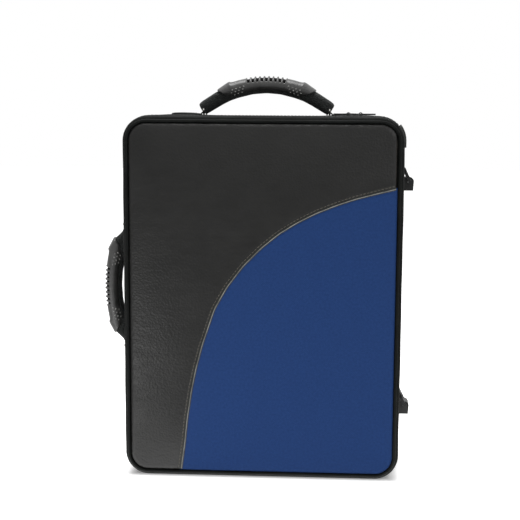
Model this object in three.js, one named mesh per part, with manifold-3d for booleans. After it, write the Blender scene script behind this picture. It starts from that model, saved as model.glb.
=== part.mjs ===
// A soft, zip-around case for two clarinets, standing on its short side.
// Millimetres, +Z up. The origin is the centre of the bottom. The padded front with the curved seam faces -Y.
// The lid is the front part. It is hinged on a fabric spine down the right side, at +X.

import * as THREE from "three";
import { mergeVertices } from "three/addons/utils/BufferGeometryUtils.js";
import Module from "manifold-3d";

const wasm = await Module();
wasm.setup();

// The whole case body, without its handles and rings
const bodyWidth = 298;
const bodyHeight = 390;
const bodyDepth = 112;
const lidDepth = 42; // from the top of the front panel's bulge to the split between lid and base
const cornerRadius = 26;
const leastCornerRadius = 3;
const cornerSteps = 6;

// The two hoops that make the side wall
const wallThickness = 8.2;
const shoulderRadius = 8;
const shoulderSteps = 4;
const splitGap = 0.4;
const seatGap = 0.3; // kept between neighbouring pieces
const overrun = 6; // how far a cutter runs past what it cuts

// Boards and pads
const boardThickness = 4;
const panelMargin = 0.9; // from the wall's inner side
const panelInset = wallThickness + panelMargin;
const panelEdge = 2.7;
const panelBulge = 6;
const bulgeReach = 78; // how far in from its edge the front panel still rises
const backPadBulge = 4;
const backPadSink = 3.7;
const backBulgeReach = 60;
const bulgeShares = [0, 0.05, 0.14, 0.28, 0.48, 0.72, 1];
const bulgeSharpness = 2.6;
const lidPadThickness = 6.7;
const padRounding = 2;

// The seam across the front: points as shares of the half width and of the height
const seamShares = [
  [0.97, 0.814],
  [0.65, 0.785],
  [0.387, 0.747],
  [0.124, 0.691],
  [-0.138, 0.598],
  [-0.34, 0.48],
  [-0.429, 0.379],
  [-0.508, 0.25],
  [-0.56, 0.096],
  [-0.586, 0.018],
];
const seamSteps = 26;
const bindingWidth = 3.2;
const bindingRise = 0.7;

// Piping round the front and back panels
const pipingRadius = 1.7;
const pipingGap = 0.4; // from the panels' edge
const pipingInset = panelInset - pipingGap - pipingRadius;
const pipingSides = 8;

// The zip and the channel it lies in
const channelWidth = 20;
const channelDepth = 4.5;
const zipEndMargin = 4; // from the corner's end to the channel's end, along the spine
const chainGap = 1.6;
const teethWidth = 2.5;
const teethTop = 0.6; // depth below the outer skin
const teethThickness = 2.2;
const tapeTop = 1.3;
const tapeThickness = 0.8;
const stopTop = 0.3;

// Zip sliders and their pulls
const sliderLength = 10;
const sliderWidth = 10.5;
const sliderPlate = 1.5;
const sliderSole = 0.8;
const sliderPostLength = 3;
const sliderLeftShare = 0.6; // of the half width
const sliderSpacing = 13;
const bailRadius = 2.2;
const bailBore = 1.1;
const bailWidth = 2.6;
const pullLength = 16;
const pullWidth = 7;
const pullThickness = 1.6;
const pullBarRadius = 0.8;
const pullWindow = 3.4;
const pullEyeRadius = 1.6;
const smallSides = 16;

// Tabs that cover the zip's ends
const tabWidth = 10;
const tabThickness = 2.5;
const tabTipRise = 4.4;
const tabTipAngle = 0.64;
const tabEndAngle = 0.42;
const tabStartAngle = -0.1;
const tabSteps = 4;
const tabOffset = 0.6; // from the channel's edge

// The fabric spine
const leafThickness = 0.9;
const leafRecess = 1.2;
const leafWidth = 10;
const leafFromHinge = 3;
const leafMargin = 4;

// Both handles: u runs along the handle, v out from the wall
const handleSpan = 138; // from ring to ring
const topHandleRise = 44;
const sideHandleRise = 32; // pressed flatter
const handleBack = 20; // distance behind the body's mid plane
const gripThickness = 16.8;
const gripWidth = 25;
const coreThickness = 14;
const coreWidth = 20;
const handleSides = 12;
const sectionPower = 0.9;
const sideHandleShare = 0.513; // of the body's height
// each row: u as a share of the half span, v of the rise, thickness and width as shares of the piece's own
const gripShares = [
  [0, 0.765, 0.97, 0.96],
  [0.16, 0.76, 0.98, 0.98],
  [0.3, 0.742, 1, 1],
  [0.44, 0.704, 1, 1],
  [0.57, 0.638, 1, 1],
  [0.69, 0.54, 0.95, 0.97],
  [0.82, 0.415, 0.88, 0.92],
];
const coreShares = [
  [0, 0.745, 0.68, 0.82],
  [0.2, 0.735, 0.68, 0.82],
  [0.4, 0.696, 0.68, 0.82],
  [0.56, 0.63, 0.7, 0.82],
  [0.68, 0.542, 0.78, 0.86],
  [0.76, 0.468, 0.97, 0.92],
  [0.86, 0.366, 0.98, 0.8],
  [0.94, 0.298, 0.8, 0.6],
  [1, 0.265, 0.52, 0.46],
  [1.045, 0.255, 0.34, 0.36],
];
// the grip's ends are cut on a slant, through two points
const gripEndOuterShares = [0.779, 0.655];
const gripEndInnerShares = [0.577, 0.521];
const notchCount = 9;
const notchPitch = 4.8;
const notchWidth = 2.9;
const notchDepth = 5.2;

// The wire rings at the handles' ends and the webbing that holds them
const ringRadius = 4.6;
const ringWire = 1.1;
const ringLift = 0.6;
const ringSteps = 20;
const ringSides = 6;
const archThickness = 1.2;
const archLength = 4.8;
const archWidth = 4.2;
const anchorLength = 32;
const anchorWidth = 18;
const anchorThickness = 1.4;

// Moulded rings for the carrying straps, and their blocks
const strapBarStandoff = 9;
const strapBarRadius = 2.1;
const strapTunnelRadius = 2.4;
const strapBlockRadius = 4.4;
const strapBlockDrop = 10;
const strapBlockTaper = 0.7;
const strapBlockWidth = 20.4;
const strapRingWidth = 31;
const strapRingReach = 16;
const strapRingBottom = 1.3;
const strapRingThickness = 3.2;
const strapArm = 4.2;
const strapRingCorner = 6;
const strapHoleCorner = 2;
const strapBack = 30; // distance behind the body's mid plane
const strapAboveAnchor = 6; // from the side handle's upper anchor up to the block
const strapBelowAnchor = 13; // from the side handle's lower anchor down to the ring

// The fitted inside of the base
const floorThickness = 5.7;
const railTop = 5.8; // from the split down to the rails' tops
const railWidth = 10;
const wellCount = 4;
const wellWidth = 38;
const crossRailHeight = 6;
const lowerCellHeight = 40;
const upperCellHeight = 34;
const dividerWidth = 6;
const mouthpieceLength = 100;
const bellWellHeight = 113;
const accessoryHeight = 125.7;
const accessoryLidThickness = 2.7;
const accessoryLidClearance = 0.8;
const ribbonWidth = 8;
const ribbonLength = 16;
const ribbonThickness = 0.8;

// The pocket inside the lid
const pocketWidth = 250;
const pocketBottom = 25;
const pocketHeight = 225;
const pocketDepth = 8;
const pocketSkin = 1.5;

// Levels through the depth, from front to back
const splitY = -bodyDepth / 2 + lidDepth;
const lidFrontY = -bodyDepth / 2 + panelBulge + panelEdge + seatGap;
const lidBackY = splitY - splitGap / 2;
const baseFrontY = splitY + splitGap / 2;
const baseBackY = bodyDepth / 2 - backPadBulge;
const boardFrontY = baseBackY - backPadSink - seatGap - boardThickness;
const floorFrontY = boardFrontY - seatGap - floorThickness;
const railFrontY = baseFrontY + railTop;
const railBackY = floorFrontY - seatGap;
const channelFrontY = splitY - channelWidth / 2;
const channelBackY = splitY + channelWidth / 2;
const lidPadFrontY = lidFrontY + boardThickness + seatGap;
const lidPadBackY = lidPadFrontY + lidPadThickness;

const black = 0x1b1e1f;
const cloth = new THREE.MeshStandardMaterial({ color: black, roughness: 0.85, metalness: 0 });
const leatherette = new THREE.MeshStandardMaterial({ color: 0x333331, roughness: 0.5, metalness: 0 });
const blueNylon = new THREE.MeshStandardMaterial({ color: 0x293f6a, roughness: 0.8, metalness: 0 });
const rubber = new THREE.MeshStandardMaterial({ color: 0x262625, roughness: 0.6, metalness: 0 });
const board = new THREE.MeshStandardMaterial({ color: 0x2a2a2a, roughness: 0.9, metalness: 0 });
const webbing = new THREE.MeshStandardMaterial({ color: 0x202121, roughness: 0.9, metalness: 0 });
const plush = new THREE.MeshStandardMaterial({ color: 0x1c2036, roughness: 1, metalness: 0 });
const moulded = new THREE.MeshStandardMaterial({ color: 0x2e2f2f, roughness: 0.4, metalness: 0 });
const steel = new THREE.MeshStandardMaterial({ color: 0x8e9092, roughness: 0.35, metalness: 1 });
const pipingCloth = new THREE.MeshStandardMaterial({ color: 0x151818, roughness: 0.7, metalness: 0 });
const zipNylon = new THREE.MeshStandardMaterial({ color: 0x202223, roughness: 0.6, metalness: 0 });

const clarinetCase = new THREE.Group();

// Solids for cutting and joining
function solidOf(geometry) {
  const bare = geometry.clone();
  bare.deleteAttribute("normal");
  bare.deleteAttribute("uv");
  const merged = mergeVertices(bare);
  return new wasm.Manifold(
    new wasm.Mesh({
      numProp: 3,
      vertProperties: merged.attributes.position.array,
      triVerts: new Uint32Array(merged.index.array),
    }),
  );
}

function geometryOf(solid) {
  const mesh = solid.getMesh();
  const geometry = new THREE.BufferGeometry();
  geometry.setAttribute("position", new THREE.BufferAttribute(new Float32Array(mesh.vertProperties), 3));
  geometry.setIndex(new THREE.BufferAttribute(new Uint32Array(mesh.triVerts), 1));
  geometry.computeVertexNormals();
  return geometry;
}

function addPiece(name, geometry, material, holder = clarinetCase) {
  const piece = new THREE.Mesh(geometry, material);
  piece.name = name;
  holder.add(piece);
  return piece;
}

// A box between two opposite corners
function boxBetween([x0, y0, z0], [x1, y1, z1]) {
  const geometry = new THREE.BoxGeometry(x1 - x0, y1 - y0, z1 - z0);
  geometry.translate((x0 + x1) / 2, (y0 + y1) / 2, (z0 + z1) / 2);
  return geometry;
}

// A flat outline drawn in X and Z, carried along Y from one level to another
function acrossDepth(shape, fromY, toY, curveSegments = smallSides) {
  const geometry = new THREE.ExtrudeGeometry(shape, {
    depth: toY - fromY,
    bevelEnabled: false,
    curveSegments,
  });
  geometry.rotateX(Math.PI / 2);
  geometry.translate(0, toY, 0);
  return geometry;
}

// A cylinder or disc along Y
function pinAlongY(radius, length, sides = smallSides) {
  return new THREE.CylinderGeometry(radius, radius, length, sides);
}

// The body's outline drawn in by an inset, as points in X and Z, anticlockwise from the front
function outlinePoints(inset) {
  const radius = Math.max(cornerRadius - inset, leastCornerRadius);
  const halfWidth = bodyWidth / 2 - inset - radius;
  const top = bodyHeight - inset - radius;
  const bottom = inset + radius;
  const centres = [
    [halfWidth, bottom],
    [halfWidth, top],
    [-halfWidth, top],
    [-halfWidth, bottom],
  ];
  return centres.flatMap(([x, z], corner) =>
    Array.from({ length: cornerSteps + 1 }, (_, step) => {
      const angle = ((corner - 1) * Math.PI) / 2 + ((step / cornerSteps) * Math.PI) / 2;
      return [x + radius * Math.cos(angle), z + radius * Math.sin(angle)];
    }),
  );
}

function ringAt(inset, y) {
  return outlinePoints(inset).map(([x, z]) => [x, y, z]);
}

// A closed skin over rings of points. The rings close into a loop, or the first and last get a cap.
function skinOver(rings, looped) {
  const count = rings[0].length;
  const points = rings.flat();
  const faces = [];
  const spans = looped ? rings.length : rings.length - 1;
  for (let row = 0; row < spans; row += 1) {
    const nextRow = (row + 1) % rings.length;
    for (let column = 0; column < count; column += 1) {
      const nextColumn = (column + 1) % count;
      const here = row * count + column;
      const beside = row * count + nextColumn;
      const across = nextRow * count + nextColumn;
      const ahead = nextRow * count + column;
      faces.push(here, beside, across, here, across, ahead);
    }
  }
  if (!looped) {
    for (const [row, turned] of [[0, true], [rings.length - 1, false]]) {
      const ring = rings[row];
      const centre = [0, 1, 2].map((axis) => ring.reduce((sum, point) => sum + point[axis], 0) / count);
      const hub = points.push(centre) - 1;
      for (let column = 0; column < count; column += 1) {
        const here = row * count + column;
        const beside = row * count + ((column + 1) % count);
        faces.push(hub, turned ? beside : here, turned ? here : beside);
      }
    }
  }
  const geometry = new THREE.BufferGeometry();
  geometry.setAttribute("position", new THREE.Float32BufferAttribute(points.flat(), 3));
  geometry.setIndex(faces);
  geometry.computeVertexNormals();
  return geometry;
}

// A hoop of the body's outline: a closed profile of inset and Y, its outer side running to -Y
function hoop(profile) {
  return skinOver(profile.map(([inset, y]) => ringAt(inset, y)), true);
}

// A slab of the body's outline: insets and Y from back to front
function slab(profile) {
  return skinOver(profile.map(([inset, y]) => ringAt(inset, y)), false);
}

// A hoop that leaves out the spine: it runs round the top, the left side and the bottom
function openHoop(profile, endMargin) {
  const spine = boxBetween(
    [bodyWidth / 2 - cornerRadius, -bodyDepth, cornerRadius + endMargin],
    [bodyWidth / 2 + overrun, bodyDepth, bodyHeight - cornerRadius - endMargin],
  );
  return solidOf(hoop(profile)).subtract(solidOf(spine));
}

function bandProfile(top, thickness, frontY, backY) {
  return [
    [top, backY],
    [top, frontY],
    [top + thickness, frontY],
    [top + thickness, backY],
  ];
}

// The recess on the right side that the fabric spine lies in
function leafRecessCutter() {
  const reach = leafFromHinge + leafWidth + seatGap;
  const margin = cornerRadius + zipEndMargin + leafMargin;
  return solidOf(
    boxBetween(
      [bodyWidth / 2 - leafRecess, splitY - reach, margin],
      [bodyWidth / 2 + overrun, splitY + reach, bodyHeight - margin],
    ),
  );
}

// The side wall of one half: a hoop with a rounded shoulder, a channel for the zip and a recess for the spine
function wallHoop(openY, closedY) {
  const outward = Math.sign(closedY - openY);
  const shoulder = Array.from({ length: shoulderSteps + 1 }, (_, step) => {
    const angle = ((step / shoulderSteps) * Math.PI) / 2;
    return [
      shoulderRadius * (1 - Math.cos(angle)),
      closedY - outward * shoulderRadius * (1 - Math.sin(angle)),
    ];
  });
  const profile = [[0, openY], ...shoulder, [wallThickness, closedY], [wallThickness, openY]];
  if (outward > 0) profile.reverse();
  const channel = openHoop(
    bandProfile(-overrun, channelDepth + overrun, channelFrontY, channelBackY),
    zipEndMargin,
  );
  return geometryOf(solidOf(hoop(profile)).subtract(channel).subtract(leafRecessCutter()));
}

// A board that fills the hoop
function boardSlab(frontY) {
  const inset = wallThickness + seatGap;
  return slab([[inset, frontY + boardThickness], [inset, frontY]]);
}

// A crowned pad: flat behind, upright at the edge, and rising towards its middle
function crownedRings(edgeY, rise, reach) {
  return bulgeShares.map((share) => [
    panelInset + share * reach,
    edgeY + rise * (1 - (1 - share) ** bulgeSharpness),
  ]);
}

function frontPanelSolid(raise) {
  const backY = lidFrontY - seatGap;
  const edgeY = backY - panelEdge - raise;
  return solidOf(slab([[panelInset, backY], ...crownedRings(edgeY, -panelBulge, bulgeReach)]));
}

function backPad() {
  const frontY = baseBackY - backPadSink;
  const rings = crownedRings(baseBackY, backPadBulge, backBulgeReach).reverse();
  return slab([...rings, [panelInset, frontY]]);
}

// The part of the front below and right of the seam, with the seam moved towards the blue side
function belowSeam(offset) {
  const halfWidth = bodyWidth / 2;
  const curve = new THREE.CatmullRomCurve3(
    seamShares.map(([x, z]) => new THREE.Vector3(x * halfWidth, z * bodyHeight, 0)),
    false,
    "centripetal",
  );
  const points = Array.from({ length: seamSteps + 1 }, (_, step) => {
    const place = curve.getPoint(step / seamSteps);
    const along = curve.getTangent(step / seamSteps);
    return [place.x - along.y * offset, place.y + along.x * offset, along];
  });
  const [startX, startZ, startAlong] = points[0];
  const [endX, endZ, endAlong] = points.at(-1);
  const farX = halfWidth + 2 * overrun;
  const lead = (farX - startX) / -startAlong.x;
  const tail = (endZ + 2 * overrun) / -endAlong.y;
  const shape = new THREE.Shape();
  shape.moveTo(startX - startAlong.x * lead, startZ - startAlong.y * lead);
  points.forEach(([x, z]) => shape.lineTo(x, z));
  shape.lineTo(endX + endAlong.x * tail, endZ + endAlong.y * tail);
  shape.lineTo(farX, -2 * overrun);
  return solidOf(acrossDepth(shape, -bodyDepth, 0));
}

function addFrontPanels() {
  const half = bindingWidth / 2;
  const panel = frontPanelSolid(0);
  const leather = panel.subtract(belowSeam(-half - seatGap));
  const blue = panel.intersect(belowSeam(half + seatGap));
  const binding = frontPanelSolid(bindingRise).intersect(belowSeam(-half)).subtract(belowSeam(half));
  addPiece("leather_panel", geometryOf(leather), leatherette);
  addPiece("blue_panel", geometryOf(blue), blueNylon);
  addPiece("seam_binding", geometryOf(binding), leatherette);
}

// Round piping that follows the outline
function pipingHoop(centreY) {
  const profile = Array.from({ length: pipingSides }, (_, side) => {
    const angle = (side / pipingSides) * 2 * Math.PI;
    return [pipingInset - pipingRadius * Math.cos(angle), centreY - pipingRadius * Math.sin(angle)];
  });
  return hoop(profile);
}

function addShell() {
  addPiece("lid_frame", wallHoop(lidBackY, lidFrontY), cloth);
  addPiece("front_board", boardSlab(lidFrontY), board);
  addFrontPanels();
  addPiece("front_piping", pipingHoop(lidFrontY - pipingRadius - seatGap), pipingCloth);
  addPiece("base_frame", wallHoop(baseFrontY, baseBackY), cloth);
  addPiece("back_board", boardSlab(boardFrontY), board);
  addPiece("back_pad", backPad(), cloth);
  addPiece("back_piping", pipingHoop(baseBackY + pipingRadius + seatGap), pipingCloth);
}

// The fabric spine: one strip of cloth, sewn to both halves and free between them
function addSpine() {
  const margin = cornerRadius + zipEndMargin + leafMargin + seatGap;
  const skinX = bodyWidth / 2 - leafRecess + seatGap;
  for (const [name, side] of [["hinge_leaf_lid", -1], ["hinge_leaf_base", 1]]) {
    const nearY = splitY + side * leafFromHinge;
    const farY = splitY + side * (leafFromHinge + leafWidth);
    const leaf = boxBetween(
      [skinX, Math.min(nearY, farY), margin],
      [skinX + leafThickness, Math.max(nearY, farY), bodyHeight - margin],
    );
    addPiece(name, leaf, cloth);
  }
}

// The zip: two tapes, two rows of teeth with a narrow line between them, and stops at both ends
function addZip() {
  const half = chainGap / 2;
  for (const [side, outward] of [["lid", -1], ["base", 1]]) {
    const teethLevels = [splitY + outward * half, splitY + outward * (half + teethWidth)];
    const tapeLevels = [
      splitY + outward * (half + teethWidth + seatGap),
      splitY + outward * (channelWidth / 2 - seatGap),
    ];
    const teeth = bandProfile(teethTop, teethThickness, Math.min(...teethLevels), Math.max(...teethLevels));
    const tape = bandProfile(tapeTop, tapeThickness, Math.min(...tapeLevels), Math.max(...tapeLevels));
    addPiece("zip_teeth_" + side, geometryOf(openHoop(teeth, 0)), zipNylon);
    addPiece("zip_tape_" + side, geometryOf(openHoop(tape, 0)), webbing);
  }
  const outerX = bodyWidth / 2 - stopTop;
  const innerX = bodyWidth / 2 - teethTop - teethThickness;
  const stopEnd = cornerRadius + zipEndMargin - seatGap;
  const stopStart = cornerRadius + seatGap;
  const frontY = splitY + half;
  const bottomStop = boxBetween([innerX, frontY, stopStart], [outerX, frontY + teethWidth, stopEnd]);
  const topStop = boxBetween(
    [innerX, frontY, bodyHeight - stopEnd],
    [outerX, frontY + teethWidth, bodyHeight - stopStart],
  );
  addPiece("zip_stop_bottom", bottomStop, steel);
  addPiece("zip_stop_top", topStop, steel);
}

// A leaf-shaped tab at a zip end. It follows the corner and ends in a free tip.
function endTab(upper) {
  const centreX = bodyWidth / 2 - cornerRadius;
  const centreZ = bodyHeight - cornerRadius;
  const at = (radius, angle) => {
    const z = centreZ + radius * Math.sin(angle);
    return new THREE.Vector2(centreX + radius * Math.cos(angle), upper ? z : bodyHeight - z);
  };
  const angles = Array.from(
    { length: tabSteps + 1 },
    (_, step) => tabStartAngle + (tabEndAngle - tabStartAngle) * (step / tabSteps),
  );
  const innerRadius = cornerRadius + seatGap;
  const outerRadius = cornerRadius + seatGap + tabThickness;
  const inner = angles.map((angle) => at(innerRadius / Math.cos(Math.min(angle, 0)), angle));
  const outer = angles.map((angle) => at(outerRadius, angle)).reverse();
  const shape = new THREE.Shape([...inner, at(cornerRadius + tabTipRise, tabTipAngle), ...outer]);
  const frontY = channelBackY + tabOffset;
  return acrossDepth(shape, frontY, frontY + tabWidth);
}

// A zip slider. Its origin is on the zip's line, level with the skin.
function sliderBody() {
  const sole = teethTop + teethThickness + seatGap;
  const plateBottom = seatGap - teethTop;
  const post = chainGap / 2 - seatGap;
  const halfLength = sliderLength / 2;
  const halfWidth = sliderWidth / 2;
  const plate = boxBetween([-halfLength, -halfWidth, plateBottom], [halfLength, halfWidth, plateBottom + sliderPlate]);
  const neck = boxBetween(
    [-sliderPostLength / 2, -post, -sole - sliderSole],
    [sliderPostLength / 2, post, plateBottom + sliderPlate],
  );
  const base = boxBetween([-halfLength, -halfWidth, -sole - sliderSole], [halfLength, halfWidth, -sole]);
  const bail = pinAlongY(bailRadius, bailWidth);
  bail.translate(0, 0, pullHeight());
  const foot = boxBetween(
    [-bailRadius, -bailWidth / 2, plateBottom],
    [bailRadius, bailWidth / 2, pullHeight()],
  );
  const bore = pinAlongY(bailBore, bailWidth + overrun);
  bore.translate(0, 0, pullHeight());
  return geometryOf(
    solidOf(plate)
      .add(solidOf(neck))
      .add(solidOf(base))
      .add(solidOf(bail))
      .add(solidOf(foot))
      .subtract(solidOf(bore)),
  );
}

function pullHeight() {
  return seatGap - teethTop + sliderPlate + bailBore + seatGap;
}

// A pull tag. Its origin is the axis of its cross bar, and it lies along +X.
function pullTag() {
  const half = pullWidth / 2;
  const shape = new THREE.Shape();
  shape.moveTo(0, -half);
  shape.lineTo(pullLength - half, -half);
  shape.absarc(pullLength - half, 0, half, -Math.PI / 2, Math.PI / 2, false);
  shape.lineTo(0, half);
  const windowHalf = bailWidth / 2 + 2 * seatGap;
  const eye = new THREE.Path();
  eye.absarc(pullLength - half, 0, pullEyeRadius, 0, 2 * Math.PI, true);
  shape.holes.push(eye);
  const plate = new THREE.ExtrudeGeometry(shape, {
    depth: pullThickness,
    bevelEnabled: false,
    curveSegments: smallSides / 2,
  });
  plate.translate(0, 0, -pullThickness / 2);
  const gap = boxBetween(
    [-overrun, -windowHalf, -overrun],
    [pullWindow, windowHalf, overrun],
  );
  const bar = pinAlongY(pullBarRadius, pullWidth);
  return geometryOf(solidOf(plate).subtract(solidOf(gap)).add(solidOf(bar)));
}

function addSliders() {
  const leftX = sliderLeftShare * (bodyWidth / 2);
  const places = [
    ["left", leftX, Math.PI],
    ["right", leftX + sliderSpacing, 0],
  ];
  for (const [side, x, turn] of places) {
    const slider = new THREE.Group();
    slider.position.set(x, splitY, bodyHeight);
    slider.rotation.z = turn;
    addPiece("zip_slider_" + side, sliderBody(), steel, slider);
    const pull = addPiece("zip_pull_" + side, pullTag(), moulded, slider);
    pull.position.z = pullHeight();
    clarinetCase.add(slider);
  }
}

// Handle sections carried along the handle's bow. Each row of shares gives a place, a thickness and a width.
function handleSweep(shares, rise, thickness, width, grow) {
  const mirrored = shares.slice(1).map(([u, ...rest]) => [-u, ...rest]).reverse();
  const rows = [...mirrored, ...shares].map(([u, v, thick, wide]) => ({
    u: (u * handleSpan) / 2,
    v: v * rise,
    halfThick: (thick * thickness) / 2 + grow,
    halfWide: (wide * width) / 2 + grow,
  }));
  const rings = rows.map((row, index) => {
    const before = rows[Math.max(index - 1, 0)];
    const after = rows[Math.min(index + 1, rows.length - 1)];
    const slope = Math.atan2(after.v - before.v, after.u - before.u);
    return Array.from({ length: handleSides }, (_, side) => {
      const angle = ((side + 1 / 2) / handleSides) * 2 * Math.PI;
      const across = Math.sign(Math.cos(angle)) * Math.abs(Math.cos(angle)) ** sectionPower;
      const out = Math.sign(Math.sin(angle)) * Math.abs(Math.sin(angle)) ** sectionPower;
      return [
        row.u - Math.sin(slope) * out * row.halfThick,
        across * row.halfWide,
        row.v + Math.cos(slope) * out * row.halfThick,
      ];
    });
  });
  return solidOf(skinOver(rings, false));
}

// The height of the wire rings' axis above the wall, which is also the handle's swing axis
const ringHeight = ringLift + ringWire + ringRadius;

function wireRing(wire) {
  const ring = new THREE.TorusGeometry(ringRadius, wire, ringSides, ringSteps);
  ring.rotateY(Math.PI / 2);
  return ring;
}

function ringCutter(side) {
  const cutter = wireRing(ringWire + seatGap);
  cutter.translate((side * handleSpan) / 2, 0, ringHeight);
  return solidOf(cutter);
}

// The slanted planes that end the rubber grip, as one prism that holds it
function gripEnvelope(rise) {
  const half = handleSpan / 2;
  const [outerU, outerV] = gripEndOuterShares;
  const [innerU, innerV] = gripEndInnerShares;
  const outer = [outerU * half, outerV * rise];
  const inner = [innerU * half, innerV * rise];
  const slope = (outer[0] - inner[0]) / (outer[1] - inner[1]);
  const top = rise + overrun;
  const bottom = inner[1] - gripThickness / 2;
  const topU = inner[0] + slope * (top - inner[1]);
  const bottomU = inner[0] + slope * (bottom - inner[1]);
  const shape = new THREE.Shape([
    new THREE.Vector2(-bottomU, bottom),
    new THREE.Vector2(bottomU, bottom),
    new THREE.Vector2(topU, top),
    new THREE.Vector2(-topU, top),
  ]);
  return solidOf(acrossDepth(shape, -gripWidth, gripWidth));
}

// The notches across the top of the grip, square to its bow
function notchCutter(index, rise) {
  const [, topShare] = gripShares[0];
  const bowRadius = handleSpan / 2;
  const crest = topShare * rise + gripThickness / 2;
  const angle = ((index - (notchCount - 1) / 2) * notchPitch) / bowRadius;
  const notch = boxBetween(
    [-notchWidth / 2, -gripWidth, bowRadius - notchDepth],
    [notchWidth / 2, gripWidth, bowRadius + overrun],
  );
  notch.rotateY(angle);
  notch.translate(0, 0, crest - bowRadius);
  return solidOf(notch);
}

function handleCore(rise) {
  return handleSweep(coreShares, rise, coreThickness, coreWidth, 0)
    .subtract(ringCutter(-1))
    .subtract(ringCutter(1));
}

function handleGrip(rise) {
  let grip = handleSweep(gripShares, rise, gripThickness, gripWidth, 0).intersect(gripEnvelope(rise));
  grip = grip.subtract(handleSweep(coreShares, rise, coreThickness, coreWidth, seatGap));
  for (let index = 0; index < notchCount; index += 1) grip = grip.subtract(notchCutter(index, rise));
  return grip;
}

// A webbing anchor: it passes over the ring's wire and lies flat on the wall beyond it
function handleAnchor(side) {
  const ringU = handleSpan / 2;
  const archTop = ringLift + 2 * ringWire + seatGap + archThickness;
  const arch = boxBetween(
    [ringU - archLength / 2, -archWidth / 2, seatGap],
    [ringU + archLength / 2, archWidth / 2, archTop],
  );
  const strap = boxBetween(
    [ringU + archLength / 2 - seatGap, -anchorWidth / 2, seatGap],
    [ringU + archLength / 2 + anchorLength, anchorWidth / 2, seatGap + anchorThickness],
  );
  const anchor = geometryOf(solidOf(arch).add(solidOf(strap)).subtract(ringCutter(1)));
  if (side < 0) anchor.rotateZ(Math.PI);
  return anchor;
}

// One handle with its ends named in order along +u. The swing group turns about the rings' axis.
function addHandle(name, endNames, holder, rise) {
  const swing = new THREE.Group();
  swing.position.z = ringHeight;
  const core = addPiece(name + "_core", geometryOf(handleCore(rise)), webbing, swing);
  core.position.z = -ringHeight;
  const grip = addPiece(name + "_grip", geometryOf(handleGrip(rise)), rubber, swing);
  grip.position.z = -ringHeight;
  holder.add(swing);
  endNames.forEach((endName, index) => {
    const side = 2 * index - 1;
    const ring = addPiece(name + "_ring_" + endName, wireRing(ringWire), steel, holder);
    ring.position.set((side * handleSpan) / 2, 0, ringHeight);
    addPiece(name + "_anchor_" + endName, handleAnchor(side), webbing, holder);
  });
}

function addHandles() {
  const top = new THREE.Group();
  top.position.set(0, handleBack, bodyHeight);
  addHandle("top_handle", ["left", "right"], top, topHandleRise);
  clarinetCase.add(top);
  const side = new THREE.Group();
  side.position.set(-bodyWidth / 2, handleBack, sideHandleShare * bodyHeight);
  side.rotation.y = -Math.PI / 2;
  addHandle("side_handle", ["lower", "upper"], side, sideHandleRise);
  clarinetCase.add(side);
}

// A moulded block for a strap ring, with a tunnel for its bar. Its origin is the bar's axis.
function strapBlock() {
  const wallX = seatGap - strapBarStandoff;
  const shape = new THREE.Shape();
  shape.moveTo(wallX, -strapBlockDrop);
  shape.lineTo(strapBlockRadius - strapBlockTaper, -strapBlockDrop);
  shape.lineTo(strapBlockRadius, 0);
  shape.absarc(0, 0, strapBlockRadius, 0, Math.PI / 2, false);
  shape.lineTo(wallX, strapBlockRadius);
  const tunnel = new THREE.Path();
  tunnel.absarc(0, 0, strapTunnelRadius, 0, 2 * Math.PI, true);
  shape.holes.push(tunnel);
  return acrossDepth(shape, -strapBlockWidth / 2, strapBlockWidth / 2, smallSides / 2);
}

// A moulded strap ring: a round bar and a loop that stands up from it
function strapRing() {
  const half = strapRingWidth / 2;
  const corner = strapRingCorner;
  const top = strapRingReach;
  const shape = new THREE.Shape();
  shape.moveTo(-half, -strapRingBottom);
  shape.lineTo(half, -strapRingBottom);
  shape.lineTo(half, top - corner);
  shape.absarc(half - corner, top - corner, corner, 0, Math.PI / 2, false);
  shape.lineTo(corner - half, top);
  shape.absarc(corner - half, top - corner, corner, Math.PI / 2, Math.PI, false);
  const holeHalf = half - strapArm - seatGap * 2;
  const holeTop = top - strapArm;
  const hole = new THREE.Path();
  hole.moveTo(-holeHalf, 0);
  hole.lineTo(-holeHalf, holeTop - strapHoleCorner);
  hole.lineTo(strapHoleCorner - holeHalf, holeTop);
  hole.lineTo(holeHalf - strapHoleCorner, holeTop);
  hole.lineTo(holeHalf, holeTop - strapHoleCorner);
  hole.lineTo(holeHalf, 0);
  shape.holes.push(hole);
  const loop = acrossDepth(shape, -strapRingThickness / 2, strapRingThickness / 2, smallSides / 4);
  loop.rotateZ(Math.PI / 2);
  const bar = pinAlongY(strapBarRadius, strapRingWidth);
  return geometryOf(solidOf(loop).add(solidOf(bar)));
}

// The two rings sit on the spine's side, just above and below the heights that the side handle spans
function addStrapRings() {
  const lean = Math.asin((strapBarStandoff - strapRingThickness / 2 - 2 * seatGap) / strapRingReach);
  const handleZ = sideHandleShare * bodyHeight;
  const anchorReach = handleSpan / 2 + archLength / 2 + anchorLength;
  const heights = [
    ["upper", handleZ + anchorReach + strapAboveAnchor + strapBlockDrop],
    ["lower", handleZ - anchorReach - strapBelowAnchor - strapRingReach],
  ];
  for (const [levelName, barZ] of heights) {
    const place = new THREE.Group();
    place.position.set(bodyWidth / 2 + strapBarStandoff, strapBack, barZ);
    addPiece("strap_anchor_right_" + levelName, strapBlock(), moulded, place);
    const ring = addPiece("strap_ring_right_" + levelName, strapRing(), moulded, place);
    ring.rotation.y = -lean;
    clarinetCase.add(place);
  }
}

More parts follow.
